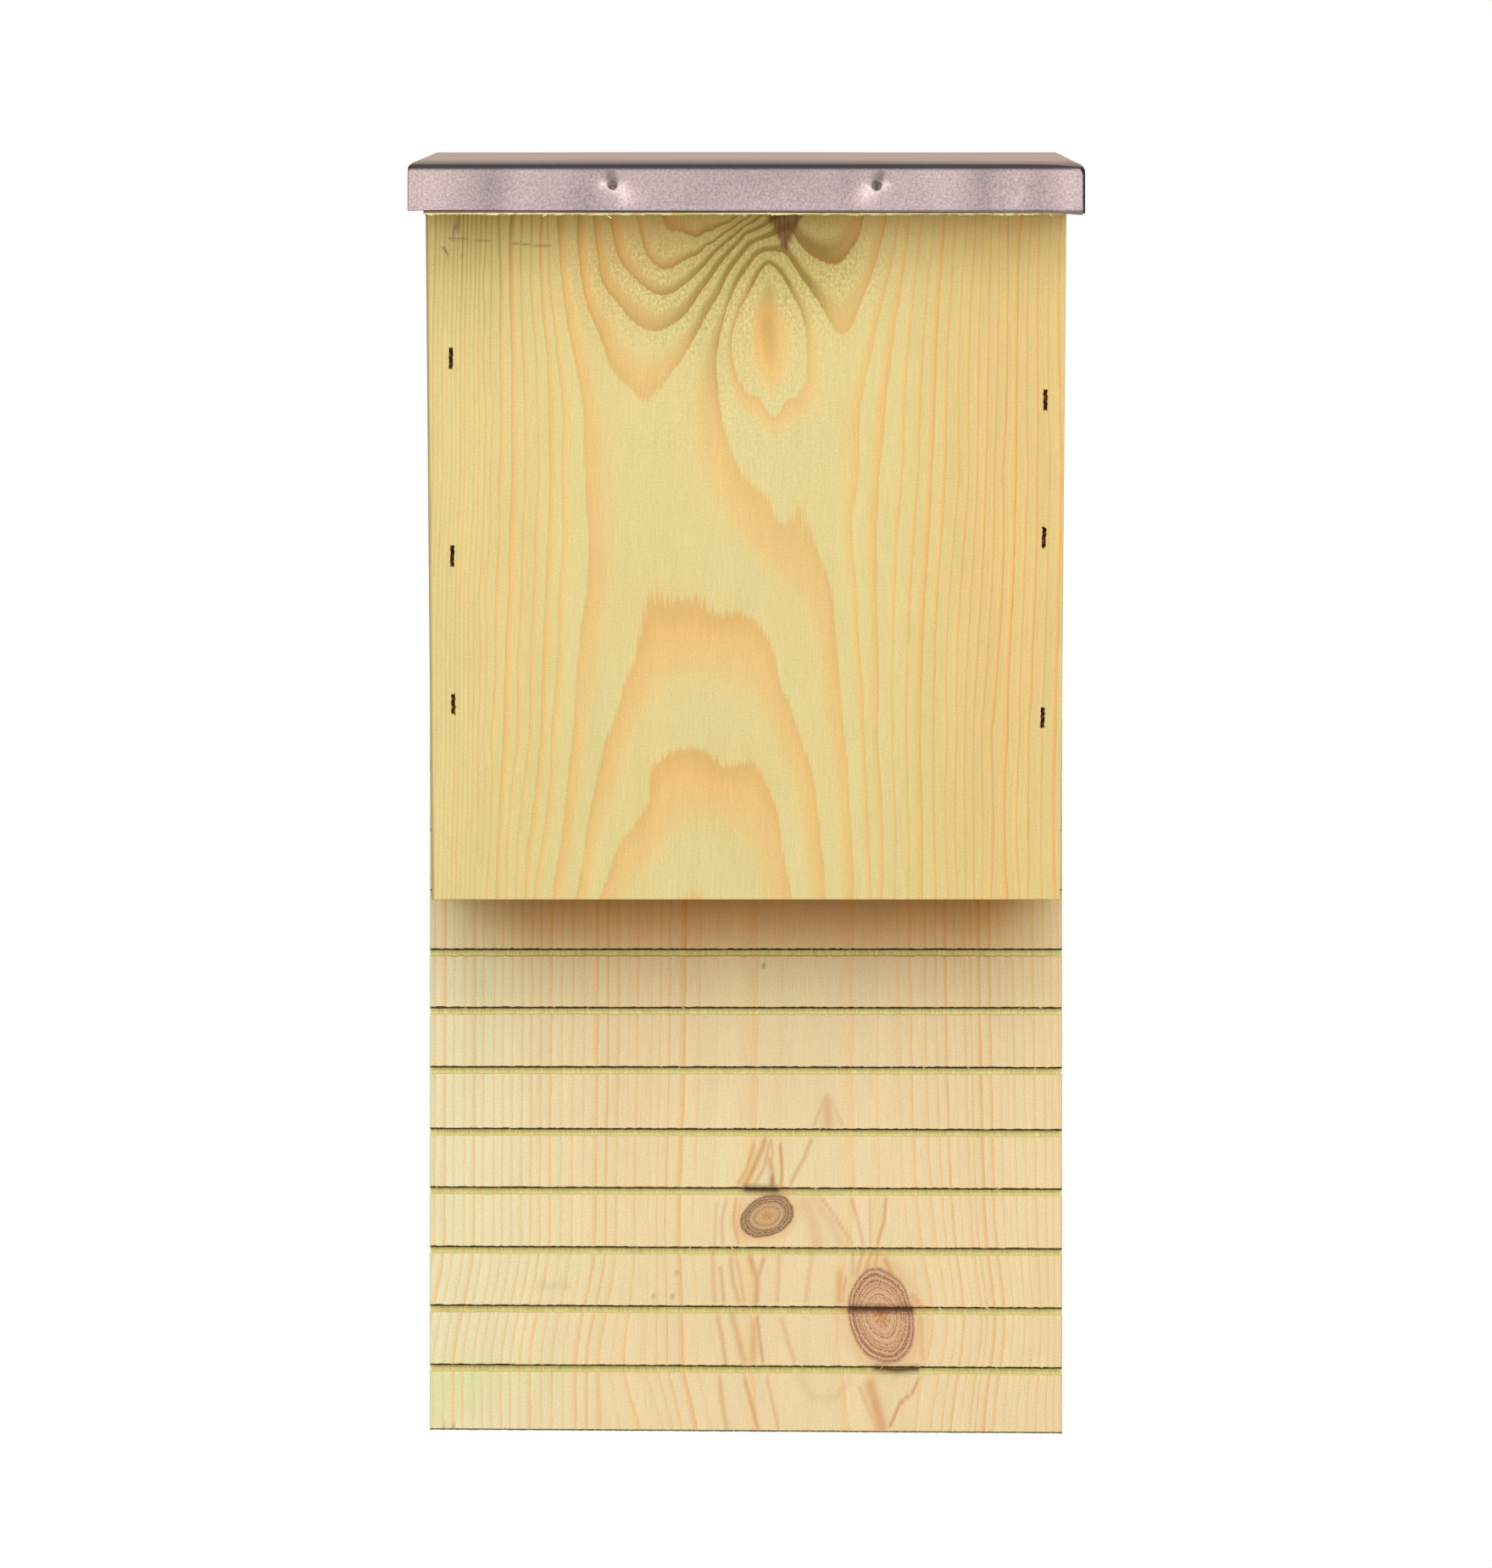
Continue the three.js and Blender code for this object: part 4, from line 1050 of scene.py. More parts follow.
def slivers(starts, runs, lifts, thick):
    """Bent fibres: place + run * t + lift * t squared, for t from 0 to 1, with a three-sided section that
    tapers to nothing at both ends. Runs and lifts are vectors, one for each sliver."""
    t = np.linspace(0, 1, 7)
    path = starts[:, None] + runs[:, None] * t[:, None] + lifts[:, None] * t[:, None] ** 2
    girth = thick[:, None] * np.sqrt(np.sin(math.pi * np.clip(t, 0.02, 0.98)))
    corners = math.radians(120) * np.arange(3)
    forward = runs / np.linalg.norm(runs, axis=1, keepdims=True)
    side = np.cross(forward, (0.0, 1.0, 0.0))
    side /= np.linalg.norm(side, axis=1, keepdims=True)
    up = np.cross(side, forward)
    ring = np.cos(corners)[:, None] * side[:, None, None] + np.sin(corners)[:, None] * up[:, None, None]
    points = path[:, :, None] + girth[:, :, None, None] * ring
    count, steps = points.shape[:2]
    index = np.arange(count * steps * 3).reshape(count, steps, 3)
    beside = np.roll(index, -1, 2)
    walls = np.stack([index[:, :-1], index[:, 1:], beside[:, 1:], beside[:, :-1]], -1)
    ends = np.concatenate([index[:, 0, ::-1], index[:, -1]])
    return points.reshape(-1, 3), walls.reshape(-1, 4).tolist() + ends.tolist()


def lip_curls():
    """A curl from each traced end to the other: it comes forwards out of the board's edge and sags."""
    scale = (roof_front - EYE[1]) / FOCAL_PIXELS
    ends = np.array(LIP_CURLS, float).reshape(-1, 2, 2)
    x = (ends[..., 0] - PHOTO_WIDTH / 2) * scale
    y = roof_front - np.array([0.1, 0.4]) * MM
    z = EYE[2] - (ends[..., 1] - PHOTO_HEIGHT / 2) * scale
    placed = np.stack(np.broadcast_arrays(x, y, z), -1)
    lift = np.tile([0.0, -0.2 * MM, -0.35 * MM], (len(ends), 1))
    return slivers(placed[:, 0], placed[:, 1] - placed[:, 0] - lift, lift, np.full(len(ends), 0.15 * MM))


def kerf_slivers(count):
    """Slivers at random places along the kerfs' edges, a few more above than below, leaning into the kerf."""
    draw = np.random.default_rng(31)
    which = draw.integers(0, LANDING_KERFS, count)
    upper = draw.random(count) < 0.55
    x = draw.uniform(-0.98, 0.98, count) * back_half
    share = (x / back_half + 1) / 2
    edge = np.where(upper[:, None], kerfs[which, 1], kerfs[which, 0])
    z = edge[:, 0] + (edge[:, 1] - edge[:, 0]) * share
    start = np.stack([x, np.full(count, back_front + 0.05 * MM), z], -1)
    run = draw.uniform(-1, 1, (count, 3)) * (1.3 * MM, 0.15 * MM, 0.45 * MM)
    run += np.where(upper[:, None], -1, 1) * np.array([0, 0, 0.5 * MM])
    run[:, 1] -= 0.12 * MM
    lift = draw.uniform(-1, 1, (count, 3)) * (0.4 * MM, 0, 0.2 * MM) - (0, 0.1 * MM, 0)
    return slivers(start, run, lift, draw.uniform(0.08, 0.15, count) * MM)


curl_piece = new_piece("roof_board_curls", *lip_curls(), "side_pine")
sliver_piece = new_piece("back_panel_slivers", *kerf_slivers(KERF_SLIVERS), "back_pine")
outward(curl_piece)
outward(sliver_piece)
print("slivers:", KERF_SLIVERS, "at the kerfs and", len(LIP_CURLS), "under the lip")

# %% [markdown]
# Materials start from what the real stuff is. One small function turns a colour that is written as
# an sRGB hex value into the linear numbers that the renderer counts in, and one adds a node: its inputs
# are given in their order or by name, and a hex colour among them is made linear on its way in.

# %% Colours and nodes
# Settings that make a Mix node mix colours: its input 0 is the share of the second, 6 and 7 are the colours.
RGBA = {"data_type": "RGBA", "out": 2}
WOOD = {"IOR": 1.5, "Specular IOR Level": 0.3}  # dry bare wood, which hardly shines


def linear(colour):
    """An sRGB hex colour as linear red, green, blue and 1."""
    parts = [int(colour[i:i + 2], 16) / 255 for i in (1, 3, 5)]
    return tuple(c / 12.92 if c <= 0.04045 else ((c + 0.055) / 1.055) ** 2.4 for c in parts) + (1.0,)


def add_node(tree, kind, inputs=(), operation=None, out=0, **settings):
    """Adds one node with its settings and fills its inputs with values, hex colours or links. The inputs come
    in the sockets' order, or by name or number. It returns one output, or all where out is None."""
    node = tree.nodes.new("ShaderNode" + kind)
    if operation:
        node.operation = operation
    for name, value in settings.items():
        setattr(node, name, value)
    pairs = inputs.items() if isinstance(inputs, dict) else enumerate(inputs)
    for key, value in pairs:
        if isinstance(value, bpy.types.NodeSocket):
            tree.links.new(value, node.inputs[key])
        else:
            node.inputs[key].default_value = linear(value) if isinstance(value, str) else value
    if out is None or not node.outputs:
        return node.outputs
    return node.outputs[out]


def blank_material(name):
    """An empty material, and add_node tied to its tree."""
    material = bpy.data.materials.new(name)
    material.use_nodes = True
    material.node_tree.nodes.clear()
    return material, partial(add_node, material.node_tree)


def per_mm(*sizes):
    """What a place is multiplied by, along x, y and z, so that noise has lumps of these sizes in mm."""
    return tuple(1 / (size * MM) for size in sizes)


def end_material(add, inputs, height, distance=MM, strength=1.0):
    """Ends a material: light falls on it as on a relief, where a height of 1 stands for the distance."""
    bump = add("Bump", {"Height": height, "Distance": distance, "Strength": strength})
    add("OutputMaterial", (add("BsdfPrincipled", {**inputs, "Normal": bump}),))


def dress(material, *pieces):
    """Gives pieces one material."""
    for piece in pieces:
        piece.data.materials.clear()
        piece.data.materials.append(material)

# %% [markdown]
# Pine: softwood, planed, dried and green-tinged from its pressure treatment. Spring wood is pale and
# autumn wood orange, fading up towards each line and stopping dead at it. The fraction of the ring number
# says how far through the year a place is. Fine noise, stretched along the grain, makes the line ragged
# where the cut runs nearly along a ring. Latewood stands a hair proud, since the planer crushes spring wood.
# Over the grain lie the marks: knots with rings and a star of their own, resin, dirt, pale kerf floors
# lightened further by painted light under a painted shadow along their upper edge, and a warm painted shadow
# on the back panel under the front panel.

# %% Colours of the two boards
FRONT_COLOURS = {
    "early_green": "#E6D391", "early_cream": "#E8C782", "blush": "#ECCE88", "late_yellow": "#EDC27A",
    "late_orange": "#F5C073", "edge": "#AE8240", "olive": "#98823F", "olive_early": "#D2C076",
    # the slit colour is painted shade inside the staples' slits
    "green": "#E3D398", "resin": "#6E3C24", "smear": "#6A5C40", "slit": "#22160C",
}
BACK_COLOURS = {
    **FRONT_COLOURS, "early_green": "#E9DEB4", "early_cream": "#EBD1A2", "blush": "#ECCC96",
    "late_yellow": "#E6C080", "late_orange": "#E9B478", "edge": "#DCA266", "green": "#DADEA0",
    # the kerf floor's colours are pale wood, lightened further by painted light
    "resin": "#CC8650", "smear": "#604632", "kerf": "#F4E8A6", "kerf_dark": "#DCCB82",
    # the kerfs' dark line is painted shadow under their upper edge, and the last colour is a warm painted
    # shadow under the front panel
    "kerf_shadow_line": "#665E30", "foot": "#6A6638", "painted_shadow_tint": "#FFE4C2",
}
KNOT_HALO = "#D89C60"  # the stained wood round a knot
KNOT_SMALL = {"wood": "#C4986A", "line": "#845C44", "core": "#D4A672", "star": "#B86E2E",
              "speck": "#E2C898", "rings": 9.0}
KNOT_LARGE = {"wood": "#D8A77C", "line": "#9C6C52", "core": "#CA976E", "star": "#BA6C2E",
              "speck": "#E2C09A", "rings": 15.0}
PINE_FIELDS = ("ring", "warm", "olive", "torn", "strength", "green", "stain", "smear", "slit", "cut", "kerf",
               "foot", "painted_shadow_tint")
# Noise stretched along the grain: width and length of its lumps in mm, and how many finer layers it has.
PINE_NOISE = {"fibre": (0.35, 9, 3), "streak": (1.2, 40, 2), "drift": (9, 60, 2), "fleck": (0.3, 3.2, 2),
              "grit": (0.35, 0.5, 2), "fuzz": (0.75, 1.1, 2)}
# How each noise shades the wood: from low to high, the colour is multiplied by dark to light.
PINE_SHADES = {"drift": (0.3, 0.7, 0.97, 1.03), "fleck": (0.66, 0.74, 1.0, 0.9), "grit": (0.3, 0.7, 0.9, 1.1)}

# %% Knots
def add_knots(add, board, colour, knots):
    """Lays each knot over a colour: place over the knot's own radii gives the distance from its pith, 1 on
    its rim. Noise along that distance makes uneven rings, and a wave round the pith makes the star."""
    for place, reach, turn, tones in knots:
        spot = (board, (place[0], 0, place[1]), (0, -turn, 0), (reach[0], 1, reach[1]))
        near = add("Mapping", spot, vector_type="TEXTURE")
        lumps = add("TexNoise", {"Vector": near, "Scale": 1.6, "Detail": 1.0})
        grit = add("TexNoise", {"Vector": near, "Scale": 22.0, "Detail": 2.0})
        away = add("VectorMath", (near,), "LENGTH", out=1)
        away = add("Math", (lumps, 0.16, away), "MULTIPLY_ADD")
        away = add("Math", (away, 0.08), "SUBTRACT")
        along = add("Math", (grit, 0.1, away), "MULTIPLY_ADD")
        rings = {"W": along, "Scale": tones["rings"], "Detail": 1.5}
        rings = add("TexNoise", rings, noise_dimensions="1D")
        outer = add("MapRange", (away, 0.5, 0.95, -0.08, 0.14))
        rings = add("Math", (rings, outer), "ADD")
        rings = add("MapRange", (rings, 0.42, 0.6))
        core = add("MapRange", (away, 0.38, 0.1, 0, 0.8))
        axes = add("SeparateXYZ", (near,), out=None)
        bearing = add("Math", (axes["Z"], axes["X"]), "ARCTAN2")
        bearing = add("Math", (bearing, 9.0, grit), "MULTIPLY_ADD")
        ray = add("Math", (bearing,), "SINE")
        tip = add("MapRange", (ray, -1, 1, 0.05, 0.27))
        star = add("Math", (away, tip), "LESS_THAN")
        star = add("Math", (star, 0.75), "MULTIPLY")
        speck = add("MapRange", (grit, 0.52, 0.62, 0, 0.65))
        knot = tones["wood"]
        for share, key in ((rings, "line"), (core, "core"), (star, "star"), (speck, "speck")):
            knot = add("Mix", {0: share, 6: knot, 7: tones[key]}, **RGBA)
        halo = add("MapRange", (away, 1.5, 1.0, 0, 0.4))
        inside = add("MapRange", (away, 1.04, 0.96))
        for share, over in ((halo, KNOT_HALO), (inside, knot)):
            colour = add("Mix", {0: share, 6: colour, 7: over}, **RGBA)
    return colour

# %% The year's growth as colour
def growth(add, field, noise, jag):
    """Shares of autumn wood and of its dark last edge, from the ring number: autumn wood starts somewhere
    past the middle of the year, by each year's own chance, and ends sharply."""
    teeth = add("Math", (noise["fibre"], noise["streak"]), "ADD")
    teeth = add("Math", (teeth, 1.0), "SUBTRACT")
    ring = add("Math", (teeth, jag, field["ring"]), "MULTIPLY_ADD")
    year = add("Math", (ring,), "FRACT")
    whole = add("Math", (ring,), "FLOOR")
    chance = add("TexWhiteNoise", {"W": whole}, noise_dimensions="1D")
    start = add("MapRange", (chance, 0, 1, 0.2, 0.55))
    rise = add("MapRange", (year, start, 0.9), interpolation_type="SMOOTHSTEP")
    fall = add("MapRange", (year, 1.0, 0.95))
    power = add("MapRange", (chance, 0, 1, 1.15, 0.7))
    power = add("Math", (power, field["strength"]), "MULTIPLY")
    late = add("Math", (rise, fall), "MULTIPLY")
    late = add("Math", (late, power), "MULTIPLY")
    edge = add("MapRange", (year, 0.8, 0.97))
    depth = add("Math", (field["warm"], 0.26, 0.14), "MULTIPLY_ADD")
    depth = add("Math", (field["olive"], 0.6, depth), "MULTIPLY_ADD")
    for share in (fall, power, depth):
        edge = add("Math", (edge, share), "MULTIPLY")
    return late, edge


def wood_colour(add, field, colours, late, edge):
    """Spring wood, through a blush, to autumn wood, and olive where the grain stands on end."""
    warm = field["warm"]
    olive = add("Math", (field["olive"], 0.9), "MULTIPLY")
    early = add("Mix", {0: warm, 6: colours["early_green"], 7: colours["early_cream"]}, **RGBA)
    early = add("Mix", {0: olive, 6: early, 7: colours["olive_early"]}, **RGBA)
    early = add("Mix", {0: field["green"], 6: early, 7: colours["green"]}, **RGBA)
    autumn = add("Mix", {0: warm, 6: colours["late_yellow"], 7: colours["late_orange"]}, **RGBA)
    autumn = add("Mix", {0: olive, 6: autumn, 7: colours["olive"]}, **RGBA)
    blush = add("Mix", {0: olive, 6: colours["blush"], 7: colours["olive_early"]}, **RGBA)
    first = add("MapRange", (late, 0, 0.45))
    second = add("MapRange", (late, 0.3, 1.0))
    colour = early
    for share, over in ((first, blush), (second, autumn), (edge, colours["edge"])):
        colour = add("Mix", {0: share, 6: colour, 7: over}, **RGBA)
    return colour


def kerf_colour(add, field, noise, colours, colour):
    """Saw kerfs: a pale fuzzy floor with tooth marks, lightened by painted light, under a painted shadow
    along the upper edge. Then the sawn foot's dark edge, and a warm painted shadow on the board under the
    front panel."""
    # The floor is pale like fresh-sawn wood, and lightened further by painted light against the groove's own
    # shade.
    marks = add("MapRange", (noise["fibre"], 0.35, 0.62))
    floor = add("Mix", {0: marks, 6: colours["kerf_dark"], 7: colours["kerf"]}, **RGBA)
    # Painted shadow: a dark line along each kerf's upper edge, where that edge shades the floor.
    high = add("Math", (noise["fuzz"], 0.16, field["kerf"]), "MULTIPLY_ADD")
    high = add("MapRange", (high, 0.76, 0.86))
    floor = add("Mix", {0: high, 6: floor, 7: colours["kerf_shadow_line"]}, **RGBA)
    ragged = add("Math", (noise["fuzz"], 1.2, field["foot"]), "MULTIPLY_ADD")
    ragged = add("MapRange", (ragged, 1.1, 1.3))
    for share, over in ((field["cut"], floor), (ragged, colours["foot"])):
        colour = add("Mix", {0: share, 6: colour, 7: over}, **RGBA)
    # Painted shadow: a warm tone multiplied in below the front panel.
    painted_light = add("Mix", {0: field["painted_shadow_tint"], 6: "#FFFFFF", 7: colours["painted_shadow_tint"]}, **RGBA)
    return add("VectorMath", (colour, painted_light), "MULTIPLY")

# %% Pine with traced rings
def traced_pine(name, colours, jag, roughness, knots=()):
    """Pine that reads its piece's fields, which are the rings, the strength of their lines and all marks."""
    material, add = blank_material(name)
    board = add("Attribute", attribute_name="board", out="Vector")
    field = {key: add("Attribute", attribute_name=key, out="Fac") for key in PINE_FIELDS}
    noise = {}
    for key, (width, length, detail) in PINE_NOISE.items():
        place = add("VectorMath", (board, per_mm(width, width, length)), "MULTIPLY")
        noise[key] = add("TexNoise", {"Vector": place, "Scale": 1.0, "Detail": detail, "Roughness": 0.6})
    late, edge = growth(add, field, noise, jag)
    colour = wood_colour(add, field, colours, late, edge)

    # Fibres, drifts, flecks and grit shade the wood. Torn spring wood stands up in tufts, and each tuft gets
    # a painted highlight and painted shade in its colour.
    shade = add("MapRange", (noise["fibre"], 0.3, 0.7, 0.94, 1.05))
    for key, span in PINE_SHADES.items():
        part = add("MapRange", (noise[key], *span))
        shade = add("Math", (shade, part), "MULTIPLY")
    spring = add("Math", (1.0, late), "SUBTRACT", use_clamp=True)
    torn = add("Math", (field["torn"], spring), "MULTIPLY")
    tuft_painted_light = add("MapRange", (noise["fuzz"], 0.35, 0.65, -0.18, 0.22))
    shade = add("Math", (tuft_painted_light, torn, shade), "MULTIPLY_ADD")
    colour = add("VectorMath", {0: colour, "Scale": shade}, "SCALE")

    # Then come the marks, in the order in which they lie over each other.
    if "kerf" in colours:
        colour = kerf_colour(add, field, noise, colours, colour)
    broken = add("MapRange", (noise["fibre"], 0.32, 0.6, 0.6, 1))
    stain = add("Math", (field["stain"], broken), "MULTIPLY")
    colour = add("Mix", {0: stain, 6: colour, 7: colours["resin"]}, **RGBA)
    colour = add_knots(add, board, colour, knots)
    # Smear is marks, scratches and the front's darker left edge; slit is painted shade inside the staples'
    # slits.
    for key in ("smear", "slit"):
        colour = add("Mix", {0: field[key], 6: colour, 7: colours[key]}, **RGBA)

    # The relief that the light feels: fine fibres, proud autumn wood and torn tufts, in mm.
    height = add("Math", (noise["fibre"], 0.05), "MULTIPLY")
    height = add("Math", (late, 0.06, height), "MULTIPLY_ADD")
    torn = add("Math", (torn, noise["fuzz"]), "MULTIPLY")
    height = add("Math", (torn, 0.35, height), "MULTIPLY_ADD")
    dull = add("MapRange", (noise["streak"], 0, 1, roughness - 0.08, roughness + 0.08))
    end_material(add, {"Base Color": colour, "Roughness": dull, **WOOD}, height)
    return material


knots = []
for (x, y, wide, tall, turn, _), tones in zip(BACK_KNOTS, (KNOT_SMALL, KNOT_LARGE)):
    place, corner = back_face.traced([(x, y), (x + wide, y - tall)])
    knots.append((tuple(place), tuple(np.abs(corner - place)), math.radians(turn), tones))
front_pine = traced_pine("planed_pine_front", FRONT_COLOURS, 0.14, 0.68)
back_pine = traced_pine("planed_pine_back", BACK_COLOURS, 0.16, 0.7, knots)
dress(front_pine, front_piece)
dress(back_pine, back_piece)
print("knots:", len(knots), "nodes in the back panel's pine:", len(back_pine.node_tree.nodes))

# %% [markdown]
# The side panels, the roof board and the torn fibres are the same pine seen from other sides.
# Nothing of theirs was traced, so their rings come from plain circles round a pith far outside the board.

# %% Pine with rings round a distant pith
LONG_RINGS = 0.04  # the rings' bend along the grain, as a share of their bend across it
END_SHADE_REACH = (1.5 * MM, 0.8 * MM)  # how far behind a front end its painted shade is gone, and is whole
END_SHADE_TURNS = (-60 * MM, -20 * MM)  # where along the end its colour changes


def plain_pine(name, pith, pitch, early, late, end=None):
    """Pine whose ring number is the distance from an upright pith line, over the ring's width.
    Its front end, where the board has one, carries painted shade: one colour at the left, fading to another."""
    material, add = blank_material(name)
    place = add("TexCoord", out="Object")
    shift = tuple(-v for v in pith)
    moved = add("Mapping", {"Vector": place, "Location": shift, "Scale": (1, 1, LONG_RINGS)})
    away = add("VectorMath", (moved,), "LENGTH", out=1)
    narrow = add("VectorMath", (place, per_mm(0.5, 0.5, 9)), "MULTIPLY")
    fibre = add("TexNoise", {"Vector": narrow, "Scale": 1.0, "Detail": 3.0})
    drift = add("TexNoise", {"Vector": place, "Scale": 1 / (40 * MM), "Detail": 2.0})
    ring = add("Math", (away, 1 / pitch, drift), "MULTIPLY_ADD")
    ring = add("Math", (fibre, 0.15, ring), "MULTIPLY_ADD")
    year = add("Math", (ring,), "FRACT")
    amount = add("MapRange", (year, 0.45, 0.92), interpolation_type="SMOOTHSTEP")
    colour = add("Mix", {0: amount, 6: early, 7: late}, **RGBA)
    if end:
        # Painted shade on the front end, which lies under the cap's lip.
        front, left, right = end
        axes = add("SeparateXYZ", (place,), out=None)
        side = add("MapRange", (axes["X"], *END_SHADE_TURNS))
        stain = add("Mix", {0: side, 6: left, 7: right}, **RGBA)
        near = add("MapRange", (axes["Y"], front + END_SHADE_REACH[0], front + END_SHADE_REACH[1]))
        colour = add("Mix", {0: near, 6: colour, 7: stain}, **RGBA)
    shade = add("MapRange", (fibre, 0.3, 0.7, 0.93, 1.05))
    colour = add("VectorMath", {0: colour, "Scale": shade}, "SCALE")
    height = add("Math", (fibre, 0.08), "MULTIPLY")
    dull = add("MapRange", (fibre, 0, 1, 0.65, 0.85))
    end_material(add, {"Base Color": colour, "Roughness": dull, **WOOD}, height)
    return material


roof_end_shade = (roof_front, "#8E6E66", "#7A7048")
side_pine = plain_pine("planed_pine_sides", (0.03, 0.06, 0), 3.2 * MM, "#E6DA9E", "#E3BD7A")
roof_pine = plain_pine("sawn_pine_roof", (0.02, -0.02, 0.30), 2.6 * MM, "#DCCB86", "#C9A860", roof_end_shade)
fringe_pine = plain_pine("torn_pine_fibres", (0, 0, 0.1), 1.7 * MM, "#F4E6A4", "#E8CC78")
dress(side_pine, nodes["side_panel_left"], nodes["side_panel_right"])
dress(roof_pine, nodes["roof_board"])
dress(fringe_pine, fringe_piece, curl_piece, sliver_piece)
print("pines with plain rings:", ", ".join(pine.name for pine in (side_pine, roof_pine, fringe_pine)))

# %% [markdown]
# Galvanised sheet: steel dipped in zinc, which dulls to a soft grey with a fine mottle. It is a metal, so its
# colour tints what it reflects. Along the fold and the hem it carries painted shade, on the lip painted
# highlights and painted shade, and the top, damp for longer, has gone brown and dull in streaks along the way
# that the sheet was rolled.

# %% Galvanised sheet
def galvanised_sheet():
    """Zinc: a fine and a broad mottle in colour and roughness, and streaks along the rolling direction."""
    material, add = blank_material("galvanised_sheet_dulled")
    place = add("TexCoord", out="Object")
    fine = {"Vector": place, "Scale": 1 / (0.7 * MM), "Detail": 3.0, "Roughness": 0.7}
    fine = add("TexNoise", fine)
    broad = add("TexNoise", {"Vector": place, "Scale": 1 / (14 * MM), "Detail": 2.0})
    rolled = add("VectorMath", (place, per_mm(22, 1.2, 1.2)), "MULTIPLY")
    rolled = add("TexNoise", {"Vector": rolled, "Scale": 1.0, "Detail": 3.0})
    keys = ("painted_light", "painted_shade", "top")
    painted_light, painted_shade, top = [add("Attribute", attribute_name=key, out="Fac") for key in keys]
    speckle = add("MapRange", (fine, 0.3, 0.7))
    colour = add("Mix", {0: speckle, 6: "#887675", 7: "#B5A09E"}, **RGBA)
    shade = add("MapRange", (broad, 0.3, 0.7, 0.95, 1.05))
    # The painted highlights and shade scale the lip's colour.
    painted_light = add("Math", (painted_light, 0.42, 1.0), "MULTIPLY_ADD")
    for scale in (shade, painted_light):
        colour = add("VectorMath", {0: colour, "Scale": scale}, "SCALE")
    streaks = add("Mix", {0: rolled, 6: "#92796D", 7: "#CCADA0"}, **RGBA)
    # The top's streaks, then the painted shade of the fold, hem, slits and nail dents, near black.
    for share, over in ((top, streaks), (painted_shade, "#241B1B")):
        colour = add("Mix", {0: share, 6: colour, 7: over}, **RGBA)
    less_metal = add("Math", (painted_shade, top), "MAXIMUM")
    metal = add("MapRange", (less_metal, 0, 1, 0.85, 0.15))
    dull = add("MapRange", (fine, 0, 1, 0.42, 0.6))
    dull = add("Math", (less_metal, 0.35, dull), "MULTIPLY_ADD")
    height = add("Math", (fine, 0.02), "MULTIPLY")
    height = add("Math", (rolled, 0.02, height), "MULTIPLY_ADD")
    end_material(add, {"Base Color": colour, "Metallic": metal, "Roughness": dull}, height)
    return material


dress(galvanised_sheet(), cap_piece)
print("the cap's material:", cap_piece.data.materials[0].name)

# %% [markdown]
# The nails are bright steel. The staples were bare wire, and where they lie open to the air they have begun
# to rust: steel shows through an orange-brown skin, and that steel is painted nearly black, as painted shade
# of the slits that the staples lie in.

# %% Nail steel and rusting staple wire
def steel(name, clean, rust, rust_share, roughness):
    """Steel under patches of rust: noise above a level is rust, which is rough and no metal."""
    material, add = blank_material(name)
    place = add("TexCoord", out="Object")
    patch = {"Vector": place, "Scale": 1 / (0.9 * MM), "Detail": 4.0, "Roughness": 0.6}
    patch = add("TexNoise", patch)
    rusty = add("MapRange", (patch, 0.62 - 0.3 * rust_share, 0.7 - 0.3 * rust_share))
    colour = add("Mix", {0: rusty, 6: clean, 7: rust}, **RGBA)
    metal = add("Math", (1.0, rusty), "SUBTRACT")
    dull = add("MapRange", (rusty, 0, 1, roughness, 0.8))
    end_material(add, {"Base Color": colour, "Metallic": metal, "Roughness": dull}, patch, 0.15 * MM, 0.6)
    return material


nails = [node for name, node in nodes.items() if "nail" in name]
staples = [node for name, node in nodes.items() if "staple" in name]
dress(steel("bright_nail_steel", "#7E7673", "#4A3A30", 0.5, 0.2), *nails)
# the staples' clean steel is painted nearly black: painted shade of the slits that they lie in
dress(steel("rusting_staple_wire", "#2E241C", "#8A4C1E", 0.45, 0.55), *staples)
print("nails:", len(nails), "staples:", len(staples))

# %% [markdown]
# The studio: a pale floor well below the box, which hangs as on a wall, a soft even sky of light, and
# softboxes in front, above and behind, the last for the cap's top. The shadow under the lip and the one
# under the front panel fade over about 40 mm, which only large lamps give. The sky is warm and the lamps a
# little cool, so that what lies in shadow looks warmer. The white is for the camera and for reflections only.

# %% Floor, lamps and background
FLOOR_DROP = 1.1
FLOOR_LINES = 41
SKY = 0.165
SOFTBOXES = {  # place and size in metres, and watts
    "softbox_left": ((-1.2, -1.6, 0.6), (1.0, 1.4), 20.3),
    "softbox_right": ((1.2, -1.6, 0.6), (1.0, 1.4), 19.8),
    "softbox_above": ((0, -1.15, 1.5), (1.8, 1.1), 18.9),
    "softbox_behind": ((0, 1.8, 0.3), (1.4, 1.4), 9),
}


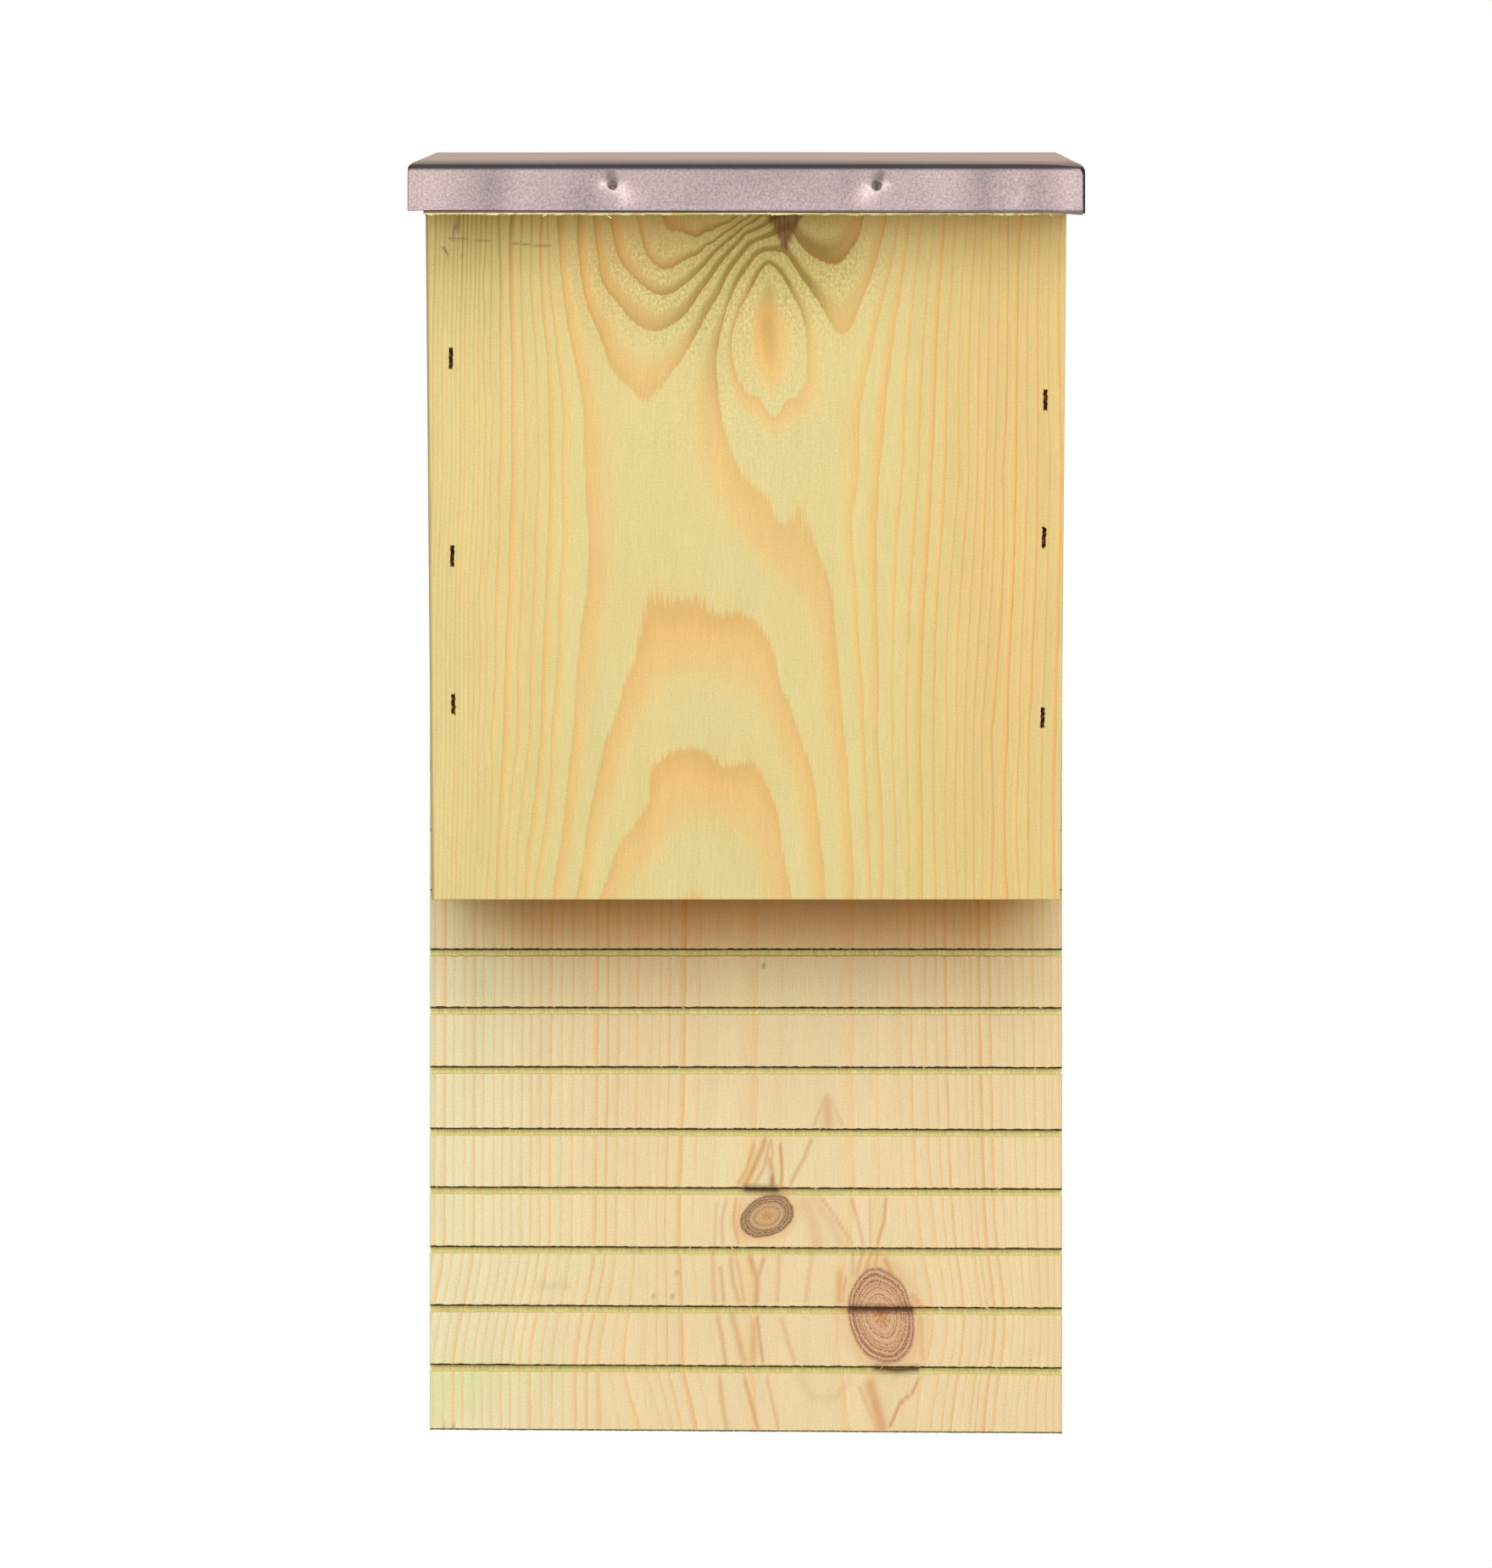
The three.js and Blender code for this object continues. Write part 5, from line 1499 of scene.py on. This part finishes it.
def make_floor():
    """A pale sheet with a gently dished surface, far enough down to stay out of the photograph."""
    side = np.linspace(-1, 1, FLOOR_LINES)
    x, y = np.meshgrid(side * 1.6, side * 1.2 - 0.4)
    z = -FLOOR_DROP + 0.002 * (x ** 2 + y ** 2)
    floor = bpy.data.objects.new("studio_floor", bpy.data.meshes.new("studio_floor"))
    faces = quads(FLOOR_LINES, FLOOR_LINES, False)
    floor.data.from_pydata(np.stack([x, y, z], -1).reshape(-1, 3), [], faces.tolist())
    bpy.context.scene.collection.objects.link(floor)
    material, add = blank_material("pale_studio_floor")
    mottle = add("TexNoise", {"Vector": add("TexCoord", out="Object"), "Scale": 9.0, "Detail": 2.0})
    colour = add("Mix", {0: mottle, 6: "#ECEBE8", 7: "#F4F3F0"}, **RGBA)
    add("OutputMaterial", (add("BsdfPrincipled", {"Base Color": colour, "Roughness": 0.8}),))
    dress(material, floor)


def make_lamp(name, place, size, watts):
    """A softbox aimed at the middle of the box."""
    lamp = bpy.data.lights.new(name, "AREA")
    lamp.shape = "RECTANGLE"
    lamp.size, lamp.size_y = size
    lamp.energy = watts
    lamp.color = linear("#F1FAFF")[:3]
    box = bpy.data.objects.new(name, lamp)
    box.location = place
    box.rotation_euler = (-Vector(place)).to_track_quat("-Z", "Y").to_euler()
    box.visible_camera = False
    bpy.context.scene.collection.objects.link(box)


def make_sky():
    """Even light, with plain white for what the camera sees and for what metal reflects."""
    world = bpy.data.worlds.new("studio")
    bpy.context.scene.world = world
    world.use_nodes = True
    world.node_tree.nodes.clear()
    add = partial(add_node, world.node_tree)
    rays = add("LightPath", out=None)
    seen = add("Math", (rays["Is Camera Ray"], rays["Is Glossy Ray"]), "MAXIMUM")
    seen = add("Math", (seen, rays["Is Transmission Ray"]), "MAXIMUM")
    light = add("Background", {"Color": "#FFCF90", "Strength": SKY})
    white = add("Background", {"Color": "#FFFFFF", "Strength": 1.0})
    add("OutputWorld", (add("MixShader", (seen, light, white)),))


make_floor()
make_sky()
for name, (place, size, watts) in SOFTBOXES.items():
    make_lamp(name, place, size, watts)
bpy.context.scene.view_settings.view_transform = "Standard"
print("softboxes:", len(SOFTBOXES), "floor in metres below the middle:", FLOOR_DROP)
